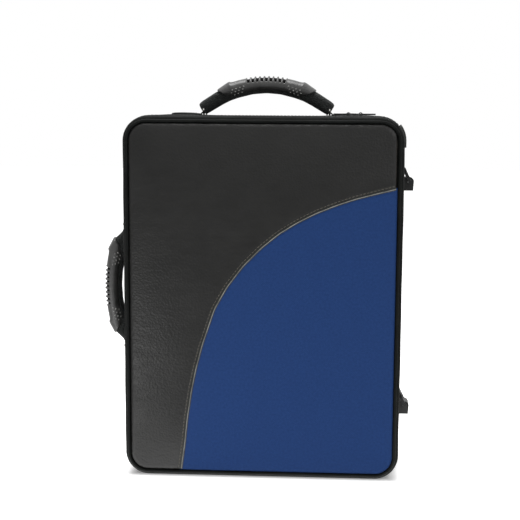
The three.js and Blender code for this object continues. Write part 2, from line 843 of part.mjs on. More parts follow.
// The foam floor, the rails between the wells and the lid of the accessory compartment
function addInside() {
  const left = -bodyWidth / 2 + wallThickness + seatGap;
  const right = -left;
  const bottom = wallThickness + seatGap;
  const top = bodyHeight - bottom;
  const floor = slab([[bottom, boardFrontY - seatGap], [bottom, floorFrontY]]);
  addPiece("foam_floor", floor, plush);

  const rail = (name, x0, x1, z0, z1) =>
    addPiece(name, boxBetween([x0, railFrontY, z0], [x1, railBackY, z1]), plush);
  const lowerRailBottom = bottom + lowerCellHeight;
  const lowerRailTop = lowerRailBottom + crossRailHeight;
  const upperRailBottom = lowerRailTop + upperCellHeight;
  const upperRailTop = upperRailBottom + crossRailHeight;
  const wellStep = wellWidth + railWidth;
  const centreX = left + wellCount * wellStep - railWidth;
  for (let index = 1; index < wellCount; index += 1) {
    const railX = left + index * wellStep - railWidth;
    rail("well_rail_" + index, railX, railX + railWidth, upperRailTop + seatGap, top);
  }
  rail("centre_rail", centreX, centreX + railWidth, bottom, top);
  rail("cross_rail", left, centreX - seatGap, upperRailBottom, upperRailTop);
  rail("mid_rail", left, centreX - seatGap, lowerRailBottom, lowerRailTop);
  const dividerX = left + mouthpieceLength;
  rail("cell_divider_lower", dividerX, dividerX + dividerWidth, bottom, lowerRailBottom - seatGap);
  rail(
    "cell_divider_upper",
    dividerX,
    dividerX + dividerWidth,
    lowerRailTop + seatGap,
    upperRailBottom - seatGap,
  );

  const columnLeft = centreX + railWidth + seatGap;
  const accessoryTop = bottom + accessoryHeight;
  const bellTop = accessoryTop + railWidth + bellWellHeight;
  rail("bell_rail_lower", columnLeft, right, accessoryTop, accessoryTop + railWidth);
  rail("bell_rail_upper", columnLeft, right, bellTop, bellTop + railWidth);

  const lidBackLevel = railFrontY - seatGap;
  const lidFrontLevel = lidBackLevel - accessoryLidThickness;
  const lidLeft = columnLeft;
  const lidRight = right - accessoryLidClearance;
  const lidBottom = bottom + accessoryLidClearance;
  const lidTop = accessoryTop + railWidth / 2;
  const lid = new THREE.Shape([
    new THREE.Vector2(lidLeft, lidBottom),
    new THREE.Vector2(right - cornerRadius, lidBottom),
    new THREE.Vector2(lidRight, cornerRadius),
    new THREE.Vector2(lidRight, lidTop),
    new THREE.Vector2(lidLeft, lidTop),
  ]);
  addPiece("accessory_lid", acrossDepth(lid, lidFrontLevel, lidBackLevel), plush);
  const ribbonZ = (lidBottom + lidTop) / 2;
  addPiece(
    "accessory_ribbon",
    boxBetween(
      [lidLeft, lidFrontLevel - seatGap - ribbonThickness, ribbonZ - ribbonWidth / 2],
      [lidLeft + ribbonLength, lidFrontLevel - seatGap, ribbonZ + ribbonWidth / 2],
    ),
    webbing,
  );
}

// The pad inside the lid and the pocket on it, open at its top
function addLidInside() {
  const inset = wallThickness + seatGap;
  const pad = [
    [inset + padRounding, lidPadBackY],
    [inset, lidPadBackY - padRounding],
    [inset, lidPadFrontY],
  ];
  addPiece("lid_pad", slab(pad), plush);
  const half = pocketWidth / 2;
  const frontY = lidPadBackY + seatGap;
  const backY = frontY + pocketDepth + pocketSkin;
  const block = boxBetween([-half, frontY, pocketBottom], [half, backY, pocketBottom + pocketHeight]);
  const hollow = boxBetween(
    [pocketSkin - half, frontY - overrun, pocketBottom + pocketSkin],
    [half - pocketSkin, backY - pocketSkin, pocketBottom + pocketHeight + overrun],
  );
  addPiece("lid_pocket", geometryOf(solidOf(block).subtract(solidOf(hollow))), cloth);
}

addShell();
addSpine();
addZip();
addPiece("zip_end_tab_top", endTab(true), webbing);
addPiece("zip_end_tab_bottom", endTab(false), webbing);
addSliders();
addHandles();
addStrapRings();
addInside();
addLidInside();

export default clarinetCase;
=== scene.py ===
import math

import bpy
import numpy as np
from mathutils import Matrix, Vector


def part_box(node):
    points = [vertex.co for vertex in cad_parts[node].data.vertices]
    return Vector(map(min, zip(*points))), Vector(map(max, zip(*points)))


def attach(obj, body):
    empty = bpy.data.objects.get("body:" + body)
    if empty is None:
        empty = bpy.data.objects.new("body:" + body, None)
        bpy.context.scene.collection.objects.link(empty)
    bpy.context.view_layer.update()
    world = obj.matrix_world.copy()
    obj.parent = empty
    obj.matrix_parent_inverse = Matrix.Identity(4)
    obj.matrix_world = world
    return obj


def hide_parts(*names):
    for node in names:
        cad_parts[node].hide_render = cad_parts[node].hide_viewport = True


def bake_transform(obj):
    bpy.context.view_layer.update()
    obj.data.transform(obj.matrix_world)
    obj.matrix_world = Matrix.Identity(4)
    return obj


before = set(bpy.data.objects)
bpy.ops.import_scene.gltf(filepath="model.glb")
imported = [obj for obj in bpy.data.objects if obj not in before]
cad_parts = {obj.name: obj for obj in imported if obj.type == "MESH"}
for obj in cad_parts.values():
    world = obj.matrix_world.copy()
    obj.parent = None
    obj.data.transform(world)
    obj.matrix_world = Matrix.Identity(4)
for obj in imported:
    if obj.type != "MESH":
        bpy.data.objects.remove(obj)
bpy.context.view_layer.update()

# A zip-around double clarinet case that stands on its short side. Shapes are worked out in millimetres,
# +X to the right, +Y to the back and +Z up, and become metres when they are put into a mesh.
MM = 0.001
QUARTER_TURN = math.pi / 2
FULL_TURN = 2 * math.pi
X, Y, Z = np.eye(3)

# The body
half_width = 149.0
height = 390.0
corner_radius = 26.0
wall = 8.2
lid_front = -47.0
split = -14.0
half_split_gap = 0.3
base_back = 52.0
channel_front = -23.9
channel_back = -4.1
channel_depth = 4.6
hem_width = 5.0
hem_rise = 0.45
front_shoulder = 6.5
back_shoulder = 8.0
wall_wander = 0.2
outer_depth = 0.3

# Each half: its name, the way from the zip to its far edge, its edge of the zip's channel and its far edge
halves = (("lid", -1, channel_front, lid_front), ("base", 1, channel_back, base_back))
shoulders = {"lid": front_shoulder, "base": back_shoulder}
# The depths between which the top wall's cloth swells
cloth_span = {"lid": (lid_front + 5, channel_front - 5), "base": (channel_back + 5, base_back - 4)}

# The zip and the spine
tooth_pitch = 2.4
tooth_inset = 1.75
tooth_from_split = 1.95
tooth_half_size = np.array([0.62, 1.7, 1.0])
tooth_edge = 0.55
tape_thickness = 0.55
tape_depth = 0.55
tape_fall = 1.3
tape_under_hem = 0.7
tape_reach = 8.6
spine_low = 30.0
spine_high = 360.0
spine_half_width = 13.0
spine_end_gap = 4.3
spine_seat = 1.1
stitch_pitch = 3.8
stitch_clearance = 0.35
hem_stitch_line = 3.4
spine_stitch_line = 10.8

# The padded front
panel_inset = 6.9
panel_back = -47.3
panel_roll = 5.5
panel_roll_rise = 2.9
panel_bulge = 5.7
bulge_reach = 78.0
bulge_sharpness = 2.6
seam_dip = 1.1
seam_dip_width = 3.0
wide_dip = 0.5
wide_dip_width = 11.0
half_seam_gap = 0.15

# The seam between the leatherette and the blue cloth: shares of the half width and of the height
seam_shares = np.array([
    [0.99, 0.8165], [0.90, 0.808], [0.80, 0.799], [0.65, 0.784], [0.52, 0.767], [0.387, 0.7465],
    [0.255, 0.721], [0.124, 0.690], [-0.01, 0.648], [-0.138, 0.598], [-0.25, 0.541], [-0.34, 0.480],
    [-0.429, 0.379], [-0.475, 0.312], [-0.508, 0.25], [-0.54, 0.17], [-0.56, 0.096], [-0.578, 0.05],
    [-0.592, 0.014],
])
binding_width = 3.4
binding_rise = 1.0
seam_stitch_pitch = 3.9
seam_stitch_line = 2.2

# The piping and the back cushion
piping_radius = 1.7
front_piping_inset = 4.8
front_piping_y = -48.3
back_piping_inset = 7.0
back_piping_y = 54.0
cushion_roll = 5.0
cushion_roll_rise = 3.2
cushion_swell = 0.1

# Handles: u runs along the handle, v out from the wall and w across it
handle_back = 20.0
ring_u = 69.0
ring_height = 6.3
ring_radius = 4.6
ring_wire = 1.1
side_handle_z = 200.07
side_bow_drop = 14.5
notch_count = 9
notch_pitch = 5.0
notch_depth = 5.2
rib_rise = 0.7
grip_half_width = 12.3
grip_squareness = 0.85
stud_start = (24.5, 31.8)
stud_pitch = (4.1, 2.9)
stud_slant = (0.9, 0.34)
anchor_length = 32.0
anchor_half_width = 9.0
anchor_thickness = 1.5
anchor_middle = 0.75
flat_start = 2.4
arch_middle = 0.7
arch_half_length = 2.9
arch_height = 3.1
box_end_gap = 2.5
box_side_gap = 2.2
box_stitch_pitch = 2.6

# Half of each edge line of a handle in side view: u and v of the outer and of the inner edge
grip_outer = np.array([
    (0, 42.6), (12, 42.0), (21, 40.6), (30, 38.6), (36.5, 36.7), (39.5, 36.2), (41.3, 36.6), (43.5, 35.5),
    (55, 27.6)])
grip_inner = np.array([
    (0, 26.2), (11, 25.6), (19, 24.3), (26.5, 22.6), (31, 21.4), (33.6, 20.8), (35.2, 20.4), (37, 20.0),
    (42.5, 20.6)])
sleeve_outer = np.array([
    (0, 38.6), (20, 36.8), (38, 31.8), (48, 29.4), (56, 25.0), (64, 19.9), (70.2, 15.9), (73.2, 13.4),
    (74.2, 11.2)])
sleeve_inner = np.array([
    (0, 24.4), (15, 23.2), (31, 19.2), (40, 16.0), (48, 11.9), (56, 7.2), (62.5, 3.3), (66, 1.6),
    (69.5, 3.2)])

# The inside
pad_dip = 0.3
cover_gap = 0.8
pocket_thickness = 1.4
pocket_edge = 1.6
pocket_hem = 12.0
pocket_hem_rise = 0.25
pocket_sag = 3.0


# Geometry helpers

def box_mm(node):
    """Lowest and highest corner of a CAD node, in millimetres."""
    low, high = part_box(node)
    return np.array(low, float) / MM, np.array(high, float) / MM


def stacked(*parts):
    """Points put together from their coordinates; a single number counts for every point."""
    return np.stack(np.broadcast_arrays(*parts), axis=-1)


def closed(rows):
    """The rows with the first one repeated at the end."""
    return np.concatenate([rows, rows[:1]])


def unit(vectors):
    """The vectors with length 1."""
    return vectors / np.maximum(np.linalg.norm(vectors, axis=-1, keepdims=True), 1e-9)


def smooth_step(value, low, high):
    """0 below low, 1 above high, and 3t^2 - 2t^3 between."""
    share = np.clip((value - low) / (high - low), 0, 1)
    return share * share * (3 - 2 * share)


def squared(circle, power):
    """A cosine or sine drawn out towards a square: sign(c) * |c|^power."""
    return np.sign(circle) * np.abs(circle) ** power


def cumulated(points):
    """Length along a line of points, starting at 0."""
    steps = np.linalg.norm(np.diff(points, axis=0), axis=-1)
    return np.concatenate([[0.0], np.cumsum(steps)])


def interpolated(places, known, rows):
    """Rows of values that are known at some places, read at other places."""
    return np.stack([np.interp(places, known, column) for column in rows.T], axis=-1)


def averaged(line, passes):
    """The line's inner points drawn halfway to the middle of their neighbours, again and again."""
    for _ in range(passes):
        line[1:-1] = line[1:-1] * 0.5 + (line[:-2] + line[2:]) * 0.25
    return line


def even_line(points, step):
    """A line through the points with an even step, rounded by 12 / step passes of averaging."""
    length = cumulated(points)
    places = np.linspace(0, length[-1], max(2, int(round(length[-1] / step)) + 1))
    return averaged(interpolated(places, length, points), int(12 / step))


def rounded_loop(half_a, half_b, radius, steps=5, straight=1):
    """A rounded rectangle and its outward normals: four quarter circles centre + radius * (cos, sin), with
    `straight` steps on each side between them. The last point repeats the first."""
    points = []
    normals = []
    centres = np.array([(1, 1), (-1, 1), (-1, -1), (1, -1)]) * [half_a - radius, half_b - radius]
    shares = np.linspace(0, 1, straight + 1)[1:-1, None]
    for quarter in range(4):
        angle = np.linspace(0, QUARTER_TURN, steps + 1) + quarter * QUARTER_TURN
        normal = stacked(np.cos(angle), np.sin(angle))
        arc = centres[quarter] + radius * normal
        next_start = centres[(quarter + 1) % 4] + radius * normal[-1]
        points += [arc, arc[-1] * (1 - shares) + next_start * shares]
        normals += [normal, np.repeat(normal[-1:], len(shares), axis=0)]
    return closed(np.concatenate(points)), closed(np.concatenate(normals))


def softened(corners, radii, steps=5):
    """A closed outline whose corners are curves: B(t) = (1-t)^2 a + 2t(1-t) corner + t^2 b, where a and b lie
    a radius before and behind the corner. The last point repeats the first."""
    corners = np.array(corners, float)
    share = np.linspace(0, 1, steps + 1)[:, None]
    pieces = []
    for index, corner in enumerate(corners):
        ends = []
        for neighbour in (corners[index - 1], corners[(index + 1) % len(corners)]):
            away = neighbour - corner
            ends.append(corner + unit(away) * min(radii[index], np.linalg.norm(away) * 0.49))
        pieces.append((1 - share) ** 2 * ends[0] + 2 * share * (1 - share) * corner + share ** 2 * ends[1])
    return closed(np.concatenate(pieces))


def subdivided(loop, longest):
    """The loop with extra points on its long straight stretches."""
    pieces = [loop[:1]]
    for start, end in zip(loop[:-1], loop[1:]):
        count = max(1, int(math.ceil(np.linalg.norm(end - start) / longest)))
        pieces.append(start + (end - start) * (np.arange(1, count + 1) / count)[:, None])
    return np.concatenate(pieces)


def slab(low, high, axis, radius, steps=5, straight=1, along_steps=1):
    """A box with rounded edges, as loops across `axis`. For t from 0 to a quarter turn, a loop is the middle
    one moved inwards by radius * (1 - sin t), and it lies radius * (1 - cos t) from the end."""
    low, high = np.array(low, float), np.array(high, float)
    others = [(axis + 1) % 3, (axis + 2) % 3]
    half = (high - low) / 2
    loop, normal = rounded_loop(*half[others], radius, steps, straight)
    turn = np.linspace(0, QUARTER_TURN, steps + 1)
    start = -half[axis] + radius * (1 - np.cos(turn))
    middle = np.linspace(start[-1], -start[-1], along_steps + 1)[1:-1]
    inset = radius * (1 - np.sin(turn))
    inset = np.concatenate([inset, np.zeros(len(middle)), inset[::-1]])
    points = np.zeros((len(inset), len(loop), 3))
    points[..., axis] = np.concatenate([start, middle, -start[::-1]])[:, None]
    points[..., others] = loop - inset[:, None, None] * normal
    return points + (high + low) / 2


def swept(path, across, outward, loop_a, loop_b):
    """A loop carried along a path: path + across * a + outward * b. All but the path may be the same for
    every row or change from row to row."""
    size = (len(path), loop_a.shape[-1])
    loop_a, loop_b = (np.broadcast_to(loop, size)[..., None] for loop in (loop_a, loop_b))
    across, outward = (np.broadcast_to(axis, path.shape)[:, None] for axis in (across, outward))
    return path[:, None] + across * loop_a + outward * loop_b


def cells(grid):
    """The four corner values of each cell of a grid."""
    corners = np.stack([grid[:-1, :-1], grid[:-1, 1:], grid[1:, 1:], grid[1:, :-1]], axis=2)
    return corners.reshape(-1, 4, *grid.shape[2:])


def turned_over(vertices, *faces):
    """A skin with its faces, and their UVs, the other way round."""
    return (vertices, *(part[:, ::-1] for part in faces))


def skin(points, closed_path=False, uv=None):
    """A grid of loops as vertices, quads, triangles and the UVs of both. The ends are closed by a fan to each
    end loop's middle, or the last loop repeats the first. Unless given, the UV is the mean length along the
    path and round the loop in metres. Faces look outwards, so that the sum of a . (b x c) over them is
    positive."""
    rows, columns = points.shape[:2]
    stride = columns - 1
    if uv is None:
        steps = [np.linalg.norm(np.diff(points, axis=k), axis=-1).mean(axis=1 - k) for k in (0, 1)]
        lengths = [np.concatenate([[0.0], np.cumsum(step)]) * MM for step in steps]
        uv = np.stack(np.meshgrid(*lengths, indexing="ij"), axis=-1)
    used_rows = rows - 1 if closed_path else rows
    index = (np.arange(rows) % used_rows)[:, None] * stride + np.arange(columns) % stride
    vertices = points[:used_rows, :-1].reshape(-1, 3)
    quads = cells(index)
    triangles = [np.zeros((0, 3), int)]
    triangle_uv = [np.zeros((0, 3, 2))]
    for row, first, second in () if closed_path else ((0, 1, 0), (-1, 0, 1)):
        one, two = slice(first, first + stride), slice(second, second + stride)
        triangles.append(stacked(len(vertices), index[row, one], index[row, two]))
        middle_uv = np.broadcast_to(uv[row].mean(axis=0), (stride, 2))
        triangle_uv.append(np.stack([middle_uv, uv[row, one], uv[row, two]], axis=1))
        vertices = np.concatenate([vertices, points[row, :-1].mean(axis=0)[None]])
    triangles = np.concatenate(triangles)
    shape = vertices, quads, triangles, cells(uv), np.concatenate(triangle_uv)
    corners = vertices[np.concatenate([quads[:, :3], quads[:, [0, 2, 3]], triangles])]
    return turned_over(*shape) if np.linalg.det(corners).sum() < 0 else shape


def copies(shape, centres, along, across, outward):
    """Copies of one small skin: centre + along * x + across * y + outward * z for each copy."""
    vertices, quads, triangles, quad_uv, triangle_uv = shape
    count = len(centres)
    axes = [np.broadcast_to(axis, centres.shape) for axis in (along, across, outward)]
    placed = centres[:, None]
    for k, axis in enumerate(axes):
        placed = placed + axis[:, None] * vertices[:, k:k + 1]
    shift = (np.arange(count) * len(vertices))[:, None, None]
    quads, triangles = (np.concatenate(part + shift) for part in (quads, triangles))
    quad_uv, triangle_uv = (np.tile(part, (count, 1, 1)) for part in (quad_uv, triangle_uv))
    placed = placed.reshape(-1, 3), quads, triangles, quad_uv, triangle_uv
    return turned_over(*placed) if np.linalg.det([axis[0] for axis in axes]) < 0 else placed


def bead(length, width, rise, sides=8, rings=3):
    """A small closed ellipsoid along x: rings at -cos t, of radius sin t, squared a little."""
    turn = np.linspace(0.35, math.pi - 0.35, rings)[:, None]
    angle = np.linspace(0, FULL_TURN, sides + 1)
    radius = np.sin(turn) ** 0.6
    return skin(stacked(
        -np.cos(turn) * length / 2, radius * np.cos(angle) * width / 2, radius * np.sin(angle) * rise / 2))


def add_piece(name, shape, finish, body, nodes=()):
    """One mesh from a skin. It rides on a body and stands for CAD nodes."""
    vertices, quads, triangles, quad_uv, triangle_uv = shape
    mesh = bpy.data.meshes.new(name)
    mesh.from_pydata((vertices * MM).tolist(), [], quads.tolist() + triangles.tolist())
    uv = np.concatenate([quad_uv.reshape(-1, 2), triangle_uv.reshape(-1, 2)])
    mesh.uv_layers.new(name="UVMap").data.foreach_set("uv", uv.ravel())
    mesh.polygons.foreach_set("use_smooth", np.ones(len(mesh.polygons), bool))
    mesh.materials.append(finishes[finish])
    mesh.update()
    piece = bpy.data.objects.new(name, mesh)
    bpy.context.scene.collection.objects.link(piece)
    if body:
        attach(piece, body)
    if nodes:
        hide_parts(*nodes)
    return piece


# The outline that the walls, zip and piping follow

def outline_table():
    """Seen from the front, from the middle of the right side up and round: x, z, normal x and normal z."""
    loop, normals = rounded_loop(half_width, height / 2, corner_radius, steps=24)
    corners = np.hstack([loop + [0, height / 2], normals])[:-1]
    return closed(np.concatenate([[[half_width, height / 2, 1.0, 0.0]], corners]))


outline_rows = outline_table()
outline_lengths = cumulated(outline_rows[:, :2])
outline_total = outline_lengths[-1]
zip_start = spine_high - height / 2
zip_end = outline_total - zip_start


def outline_at(distance):
    """x, z, normal x and normal z of the outline at distances along it."""
    return interpolated(distance, outline_lengths, outline_rows).T


def outline_steps(start, end, step):
    """Distances along the outline with an even step, and the points of its corners."""
    even = np.linspace(start, end, int((end - start) / step) + 1)
    inside = outline_lengths[(outline_lengths > start + 0.5) & (outline_lengths < end - 0.5)]
    merged = np.unique(np.concatenate([even, inside]).round(3))
    keep = np.concatenate([[True], np.diff(merged) > 0.4])
    keep[-1] = True
    return merged[keep]


def around(distance, inset, depth):
    """A profile carried round the outline: outline - normal * inset, at its depth y."""
    x, z, normal_x, normal_z = outline_at(distance)[..., None]
    return stacked(x - normal_x * inset, depth, z - normal_z * inset)


def outline_frame(distance, inset, depth):
    """Points beside the outline, and the directions along it, across it and outwards."""
    _, _, normal_x, normal_z = outline_at(distance)
    along = stacked(-normal_z, 0.0, normal_x)
    return around(distance, inset, depth)[:, 0], along, Y, stacked(normal_x, 0.0, normal_z)


def spine_share(distance):
    """1 on the right wall where the cloth spine is, 0 where the zip is."""
    x, z, normal_x, _ = outline_at(distance)
    on_right = (normal_x > 0.999) & (x > 0)
    near = np.minimum(z - spine_low, spine_high - z)
    return np.where(on_right, smooth_step(near, 0.0, 3.0), 0.0)


def cloth_rise(x, depth, front, back):
    """The top wall's cloth stands 1.5 mm proud beside the handle's ends and sags between them."""
    ridge = 1.5 * np.exp(-((np.abs(x) - 92) / 24) ** 2) - 0.5 * np.exp(-(x / 45) ** 2)
    inside = smooth_step(depth, front, front + 8) * (1 - smooth_step(depth, back - 8, back))
    return ridge * inside


# Finishes

def linear(hex_colour):
    """An sRGB hex colour as linear red, green, blue and alpha."""
    values = [int(hex_colour[k:k + 2], 16) / 255 for k in (1, 3, 5)]
    return [v / 12.92 if v <= 0.04045 else ((v + 0.055) / 1.055) ** 2.4 for v in values] + [1.0]


def fresh_tree(owner):
    """The emptied node tree of a material or a world."""
    owner.use_nodes = True
    owner.node_tree.nodes.clear()
    return owner.node_tree


def add_node(tree, kind, inputs=None, **settings):
    """Adds a node with its settings. Each input takes a value, an output, or a node's first output."""
    node = tree.nodes.new("ShaderNode" + kind)
    for name, value in settings.items():
        setattr(node, name, value)
    for name, value in (inputs or {}).items():
        if isinstance(value, bpy.types.Node):
            value = value.outputs[0]
        if isinstance(value, bpy.types.NodeSocket):
            tree.links.new(value, node.inputs[name])
        else:
            node.inputs[name].default_value = value
    return node


def toned(tree, shader, factor, dark, light, stops=(0.3, 0.7)):
    """The base colour goes from dark to light while the factor goes from one stop to the other."""
    ramp = add_node(tree, "ValToRGB", {"Fac": factor})
    for element, stop, colour in zip(ramp.color_ramp.elements, stops, (dark, light)):
        element.position = stop
        element.color = linear(colour)
    tree.links.new(ramp.outputs["Color"], shader.inputs["Base Color"])


def bumped(tree, shader, pattern, strength, distance):
    """The surface rises with the pattern by up to `distance` metres."""
    bump = add_node(tree, "Bump", {"Height": pattern, "Strength": strength, "Distance": distance})
    tree.links.new(bump.outputs["Normal"], shader.inputs["Normal"])


def new_finish(name, hex_colour, tones, **shader_inputs):
    """A material, its tree, its shader and its coordinates. Its tones are a dark and a light colour, and the
    size in metres of the patches in which it wanders between them."""
    material = bpy.data.materials.new(name)
    material.diffuse_color = linear(hex_colour)
    tree = fresh_tree(material)
    inputs = {key.replace("_", " "): value for key, value in shader_inputs.items()}
    shader = add_node(tree, "BsdfPrincipled", {"Base Color": linear(hex_colour), **inputs})
    add_node(tree, "OutputMaterial", {"Surface": shader})
    place = add_node(tree, "TexCoord").outputs
    if tones:
        dark, light, cell = tones
        noise = add_node(tree, "TexNoise", {
            "Vector": place["Object"], "Scale": 1 / cell, "Detail": 4.0,
        })
        toned(tree, shader, noise, dark, light)
    return material, tree, shader, place


def plain_finish(name, hex_colour, tones, grain=None, **shader_inputs):
    """A material with a fine grain: its size, strength and height, and the noise's detail and roughness."""
    material, tree, shader, place = new_finish(name, hex_colour, tones, **shader_inputs)
    if grain:
        cell, strength, distance, detail, roughness = grain
        noise = add_node(tree, "TexNoise", {
            "Vector": place["Object"], "Scale": 1 / cell, "Detail": detail, "Roughness": roughness,
        })
        bumped(tree, shader, noise, strength, distance)
    return material


def woven(tree, vector, thread):
    """Plain weave height: two sets of round threads `thread` metres apart, over and under in a checker."""
    scale = math.pi / 10 / thread
    warp = add_node(tree, "TexWave", {"Vector": vector, "Scale": scale}, bands_direction="X")
    weft = add_node(tree, "TexWave", {"Vector": vector, "Scale": scale}, bands_direction="Y")
    over = add_node(tree, "TexChecker", {
        "Vector": vector, "Scale": 1 / thread, "Color1": (1, 1, 1, 1), "Color2": (0, 0, 0, 1),
    })
    return add_node(tree, "Mix", {
        0: over.outputs["Fac"], 2: warp.outputs["Fac"], 3: weft.outputs["Fac"],
    })


def woven_finish(name, hex_colour, tones, weave, slant=0.0, **shader_inputs):
    """A cloth with a plain weave: its threads' distance, its strength and its height. It may run aslant."""
    material, tree, shader, place = new_finish(name, hex_colour, tones, **shader_inputs)
    thread, strength, distance = weave
    slanted = add_node(tree, "Mapping", {"Vector": place["UV"], "Rotation": (0, 0, slant)})
    bumped(tree, shader, woven(tree, slanted.outputs["Vector"], thread), strength, distance)
    return material


def leatherette():
    """Black pressed-grain leatherette over foam, satin: a pebbled grain of about 2.4 mm and faint creases."""
    material, tree, shader, place = new_finish(
        "leatherette_black", "#151514", ("#111110", "#1a1a19", 0.05), Roughness=0.42, Specular_IOR_Level=0.3)
    grain = add_node(tree, "TexVoronoi", {
        "Vector": place["Object"], "Scale": 1 / 0.0024, "Randomness": 0.9,
    })
    stretched = add_node(tree, "Mapping", {"Vector": place["Object"], "Scale": (0.35, 1.0, 1.0)})
    creases = add_node(tree, "TexNoise", {
        "Vector": stretched, "Scale": 1 / 0.007, "Detail": 6.0, "Roughness": 0.7,
    })
    wear = add_node(tree, "MapRange", {
        "Value": creases, "From Min": 0.35, "From Max": 0.7, "To Min": 0.3, "To Max": 0.5,
    })
    tree.links.new(wear.outputs["Result"], shader.inputs["Roughness"])
    pebbles = add_node(tree, "Math", {0: grain, 1: creases}, operation="MULTIPLY")
    bumped(tree, shader, pebbles, 0.65, 0.0009)
    return material


def blue_nylon():
    """Dark blue woven nylon over foam, with a faint sheen: a plain weave, drawn at 1.1 mm to show."""
    material, tree, shader, place = new_finish(
        "nylon_blue", "#23437c", None,
        Roughness=0.62, Specular_IOR_Level=0.12, Sheen_Weight=0.05, Sheen_Roughness=0.4)
    weave = woven(tree, place["UV"], 0.0011)
    thread_tone = add_node(tree, "TexNoise", {"Vector": place["UV"], "Scale": 420.0, "Detail": 2.0})
    tone = add_node(tree, "Math", {0: weave, 1: thread_tone}, operation="MULTIPLY")
    toned(tree, shader, tone, "#1b3566", "#284a84", stops=(0.0, 0.6))
    bumped(tree, shader, weave, 0.35, 0.00025)
    return material


def sewing_thread(name, dark, light):
    """Twisted polyester thread: its ply is a slanted ripple 0.4 mm apart."""
    material, tree, shader, place = new_finish(
        name, light, (dark, light, 0.004), Roughness=0.6, Sheen_Weight=0.2)
    ply = add_node(tree, "TexWave", {
        "Vector": place["Object"], "Scale": math.pi / 10 / 0.0004,
    }, bands_direction="DIAGONAL")
    bumped(tree, shader, ply.outputs["Fac"], 0.4, 0.0001)
    return material


def sleeve_cloth():
    """Coarse textured black cloth round the handle's ends: knobbly threads about 2 mm across."""
    material, tree, shader, place = new_finish(
        "handle_sleeve_cloth", "#1c1e1d", ("#151716", "#2b2e2d", 0.004),
        Roughness=0.8, Specular_IOR_Level=0.25, Sheen_Weight=0.08)
    knots = add_node(tree, "TexVoronoi", {
        "Vector": place["UV"], "Scale": 1 / 0.002, "Randomness": 0.45,
    })
    bumped(tree, shader, knots, 1.0, -0.0014)
    return material


finishes = {
    # Black coated 600-denier polyester, matt. Its threads are 0.5 mm apart, drawn at 1.1 mm to show.
    "side_cloth": woven_finish(
        "side_cloth_600d", "#101211", ("#0a0c0b", "#181a19", 0.035), (0.0011, 0.8, 0.0005),
        Roughness=0.72, Specular_IOR_Level=0.09, Sheen_Weight=0.03),
    "leather": leatherette(),
    "blue": blue_nylon(),
    # The leatherette's folded edge: the same skin, pressed smooth and worn paler along the fold
    "fold": plain_finish(
        "leatherette_folded", "#222320", ("#1c1d1b", "#2a2b28", 0.012), (0.0014, 0.3, 0.0002, 3.0, 0.5),
        Roughness=0.45, Specular_IOR_Level=0.25),
    # The thin pale grey edge of the fold, where the skin's cut backing shows
    "edge_paint": plain_finish("edge_paint_grey", "#868783", ("#6a6b67", "#a6a7a1", 0.012), Roughness=0.55),
    "seam_thread": sewing_thread("seam_thread_brown", "#453f37", "#6a6257"),
    "black_thread": sewing_thread("thread_black", "#1d1f1f", "#343737"),
    # Black nylon drawn tight over a cord: a fine slanted weave with a satin edge
    "piping": woven_finish(
        "piping_nylon", "#101211", ("#0b0d0c", "#161817", 0.02), (0.0009, 0.5, 0.0002), math.pi / 4,
        Roughness=0.55, Specular_IOR_Level=0.08),
    # Moulded soft rubber: satin, with a very fine sparked grain and dust-pale high spots
    "rubber": plain_finish(
        "grip_rubber", "#363635", ("#2d2d2c", "#444443", 0.01), (0.0008, 0.3, 0.00015, 3.0, 0.5),
        Roughness=0.38, Specular_IOR_Level=0.6),
    # Painted shade: plain near-black rubber at the bottom of the grip's notches, matt and dull, which darkens
    # them where shade falls
    "notch_painted_shade": plain_finish(
        "painted_shade_notch_rubber", "#080808", ("#050505", "#0c0c0c", 0.003), Roughness=0.85, Specular_IOR_Level=0.1),
    # The grip's small raised studs, pale grey
    "stud": plain_finish("grip_stud_rubber", "#a8a8a5", ("#7c7c7a", "#bcbcb9", 0.003), Roughness=0.4),
    "sleeve": sleeve_cloth(),
    # Black polypropylene webbing with a flat, coarse weave 1.2 mm apart
    "webbing": woven_finish(
        "webbing_black", "#131515", ("#0f1111", "#1c1f1e", 0.006), (0.0012, 0.7, 0.0004),
        Roughness=0.7, Specular_IOR_Level=0.25, Sheen_Weight=0.08),
    # Short-pile charcoal plush over foam: soft sheen at its edges and faint brushed patches
    "plush": plain_finish(
        "plush_charcoal", "#26282e", ("#202228", "#30333b", 0.018), (0.0008, 0.8, 0.0006, 5.0, 0.75),
        Roughness=0.95, Sheen_Weight=0.7, Sheen_Roughness=0.35, Sheen_Tint=linear("#9aa0b4")),
    # Injection-moulded black acetal: even, satin, with a fine spark-eroded grain
    "plastic": plain_finish(
        "acetal_black", "#151616", ("#111212", "#1a1b1b", 0.01), (0.0006, 0.15, 0.0001, 2.0, 0.5),
        Roughness=0.38, Specular_IOR_Level=0.35),
    # Nickel-plated steel wire, with fine drawing marks
    "steel": plain_finish(
        "nickel_plated_steel", "#c3c2bd", ("#a9a8a3", "#cfcec9", 0.003), (0.0005, 0.1, 0.00005, 2.0, 0.5),
        Roughness=0.24, Metallic=1.0),
    # Die-cast zip parts in black enamel, rubbed to grey on the edges
    "zip_metal": plain_finish(
        "enamelled_zinc", "#2a2b2b", ("#1f2020", "#4b4c4c", 0.002), (0.0005, 0.15, 0.0001, 2.0, 0.5),
        Roughness=0.33, Coat_Weight=0.3),
    # Black nylon zip teeth: smooth and a little glossy
    "zip_nylon": plain_finish("zip_teeth_nylon", "#1b1c1c", ("#161717", "#2a2b2b", 0.002), Roughness=0.32),
    # Grey pressed fibre board with flecks
    "board": plain_finish(
        "fibre_board", "#57534c", ("#4a4640", "#68635a", 0.002), (0.0007, 0.3, 0.0002, 2.0, 0.5),
        Roughness=0.85),
}


# The walls

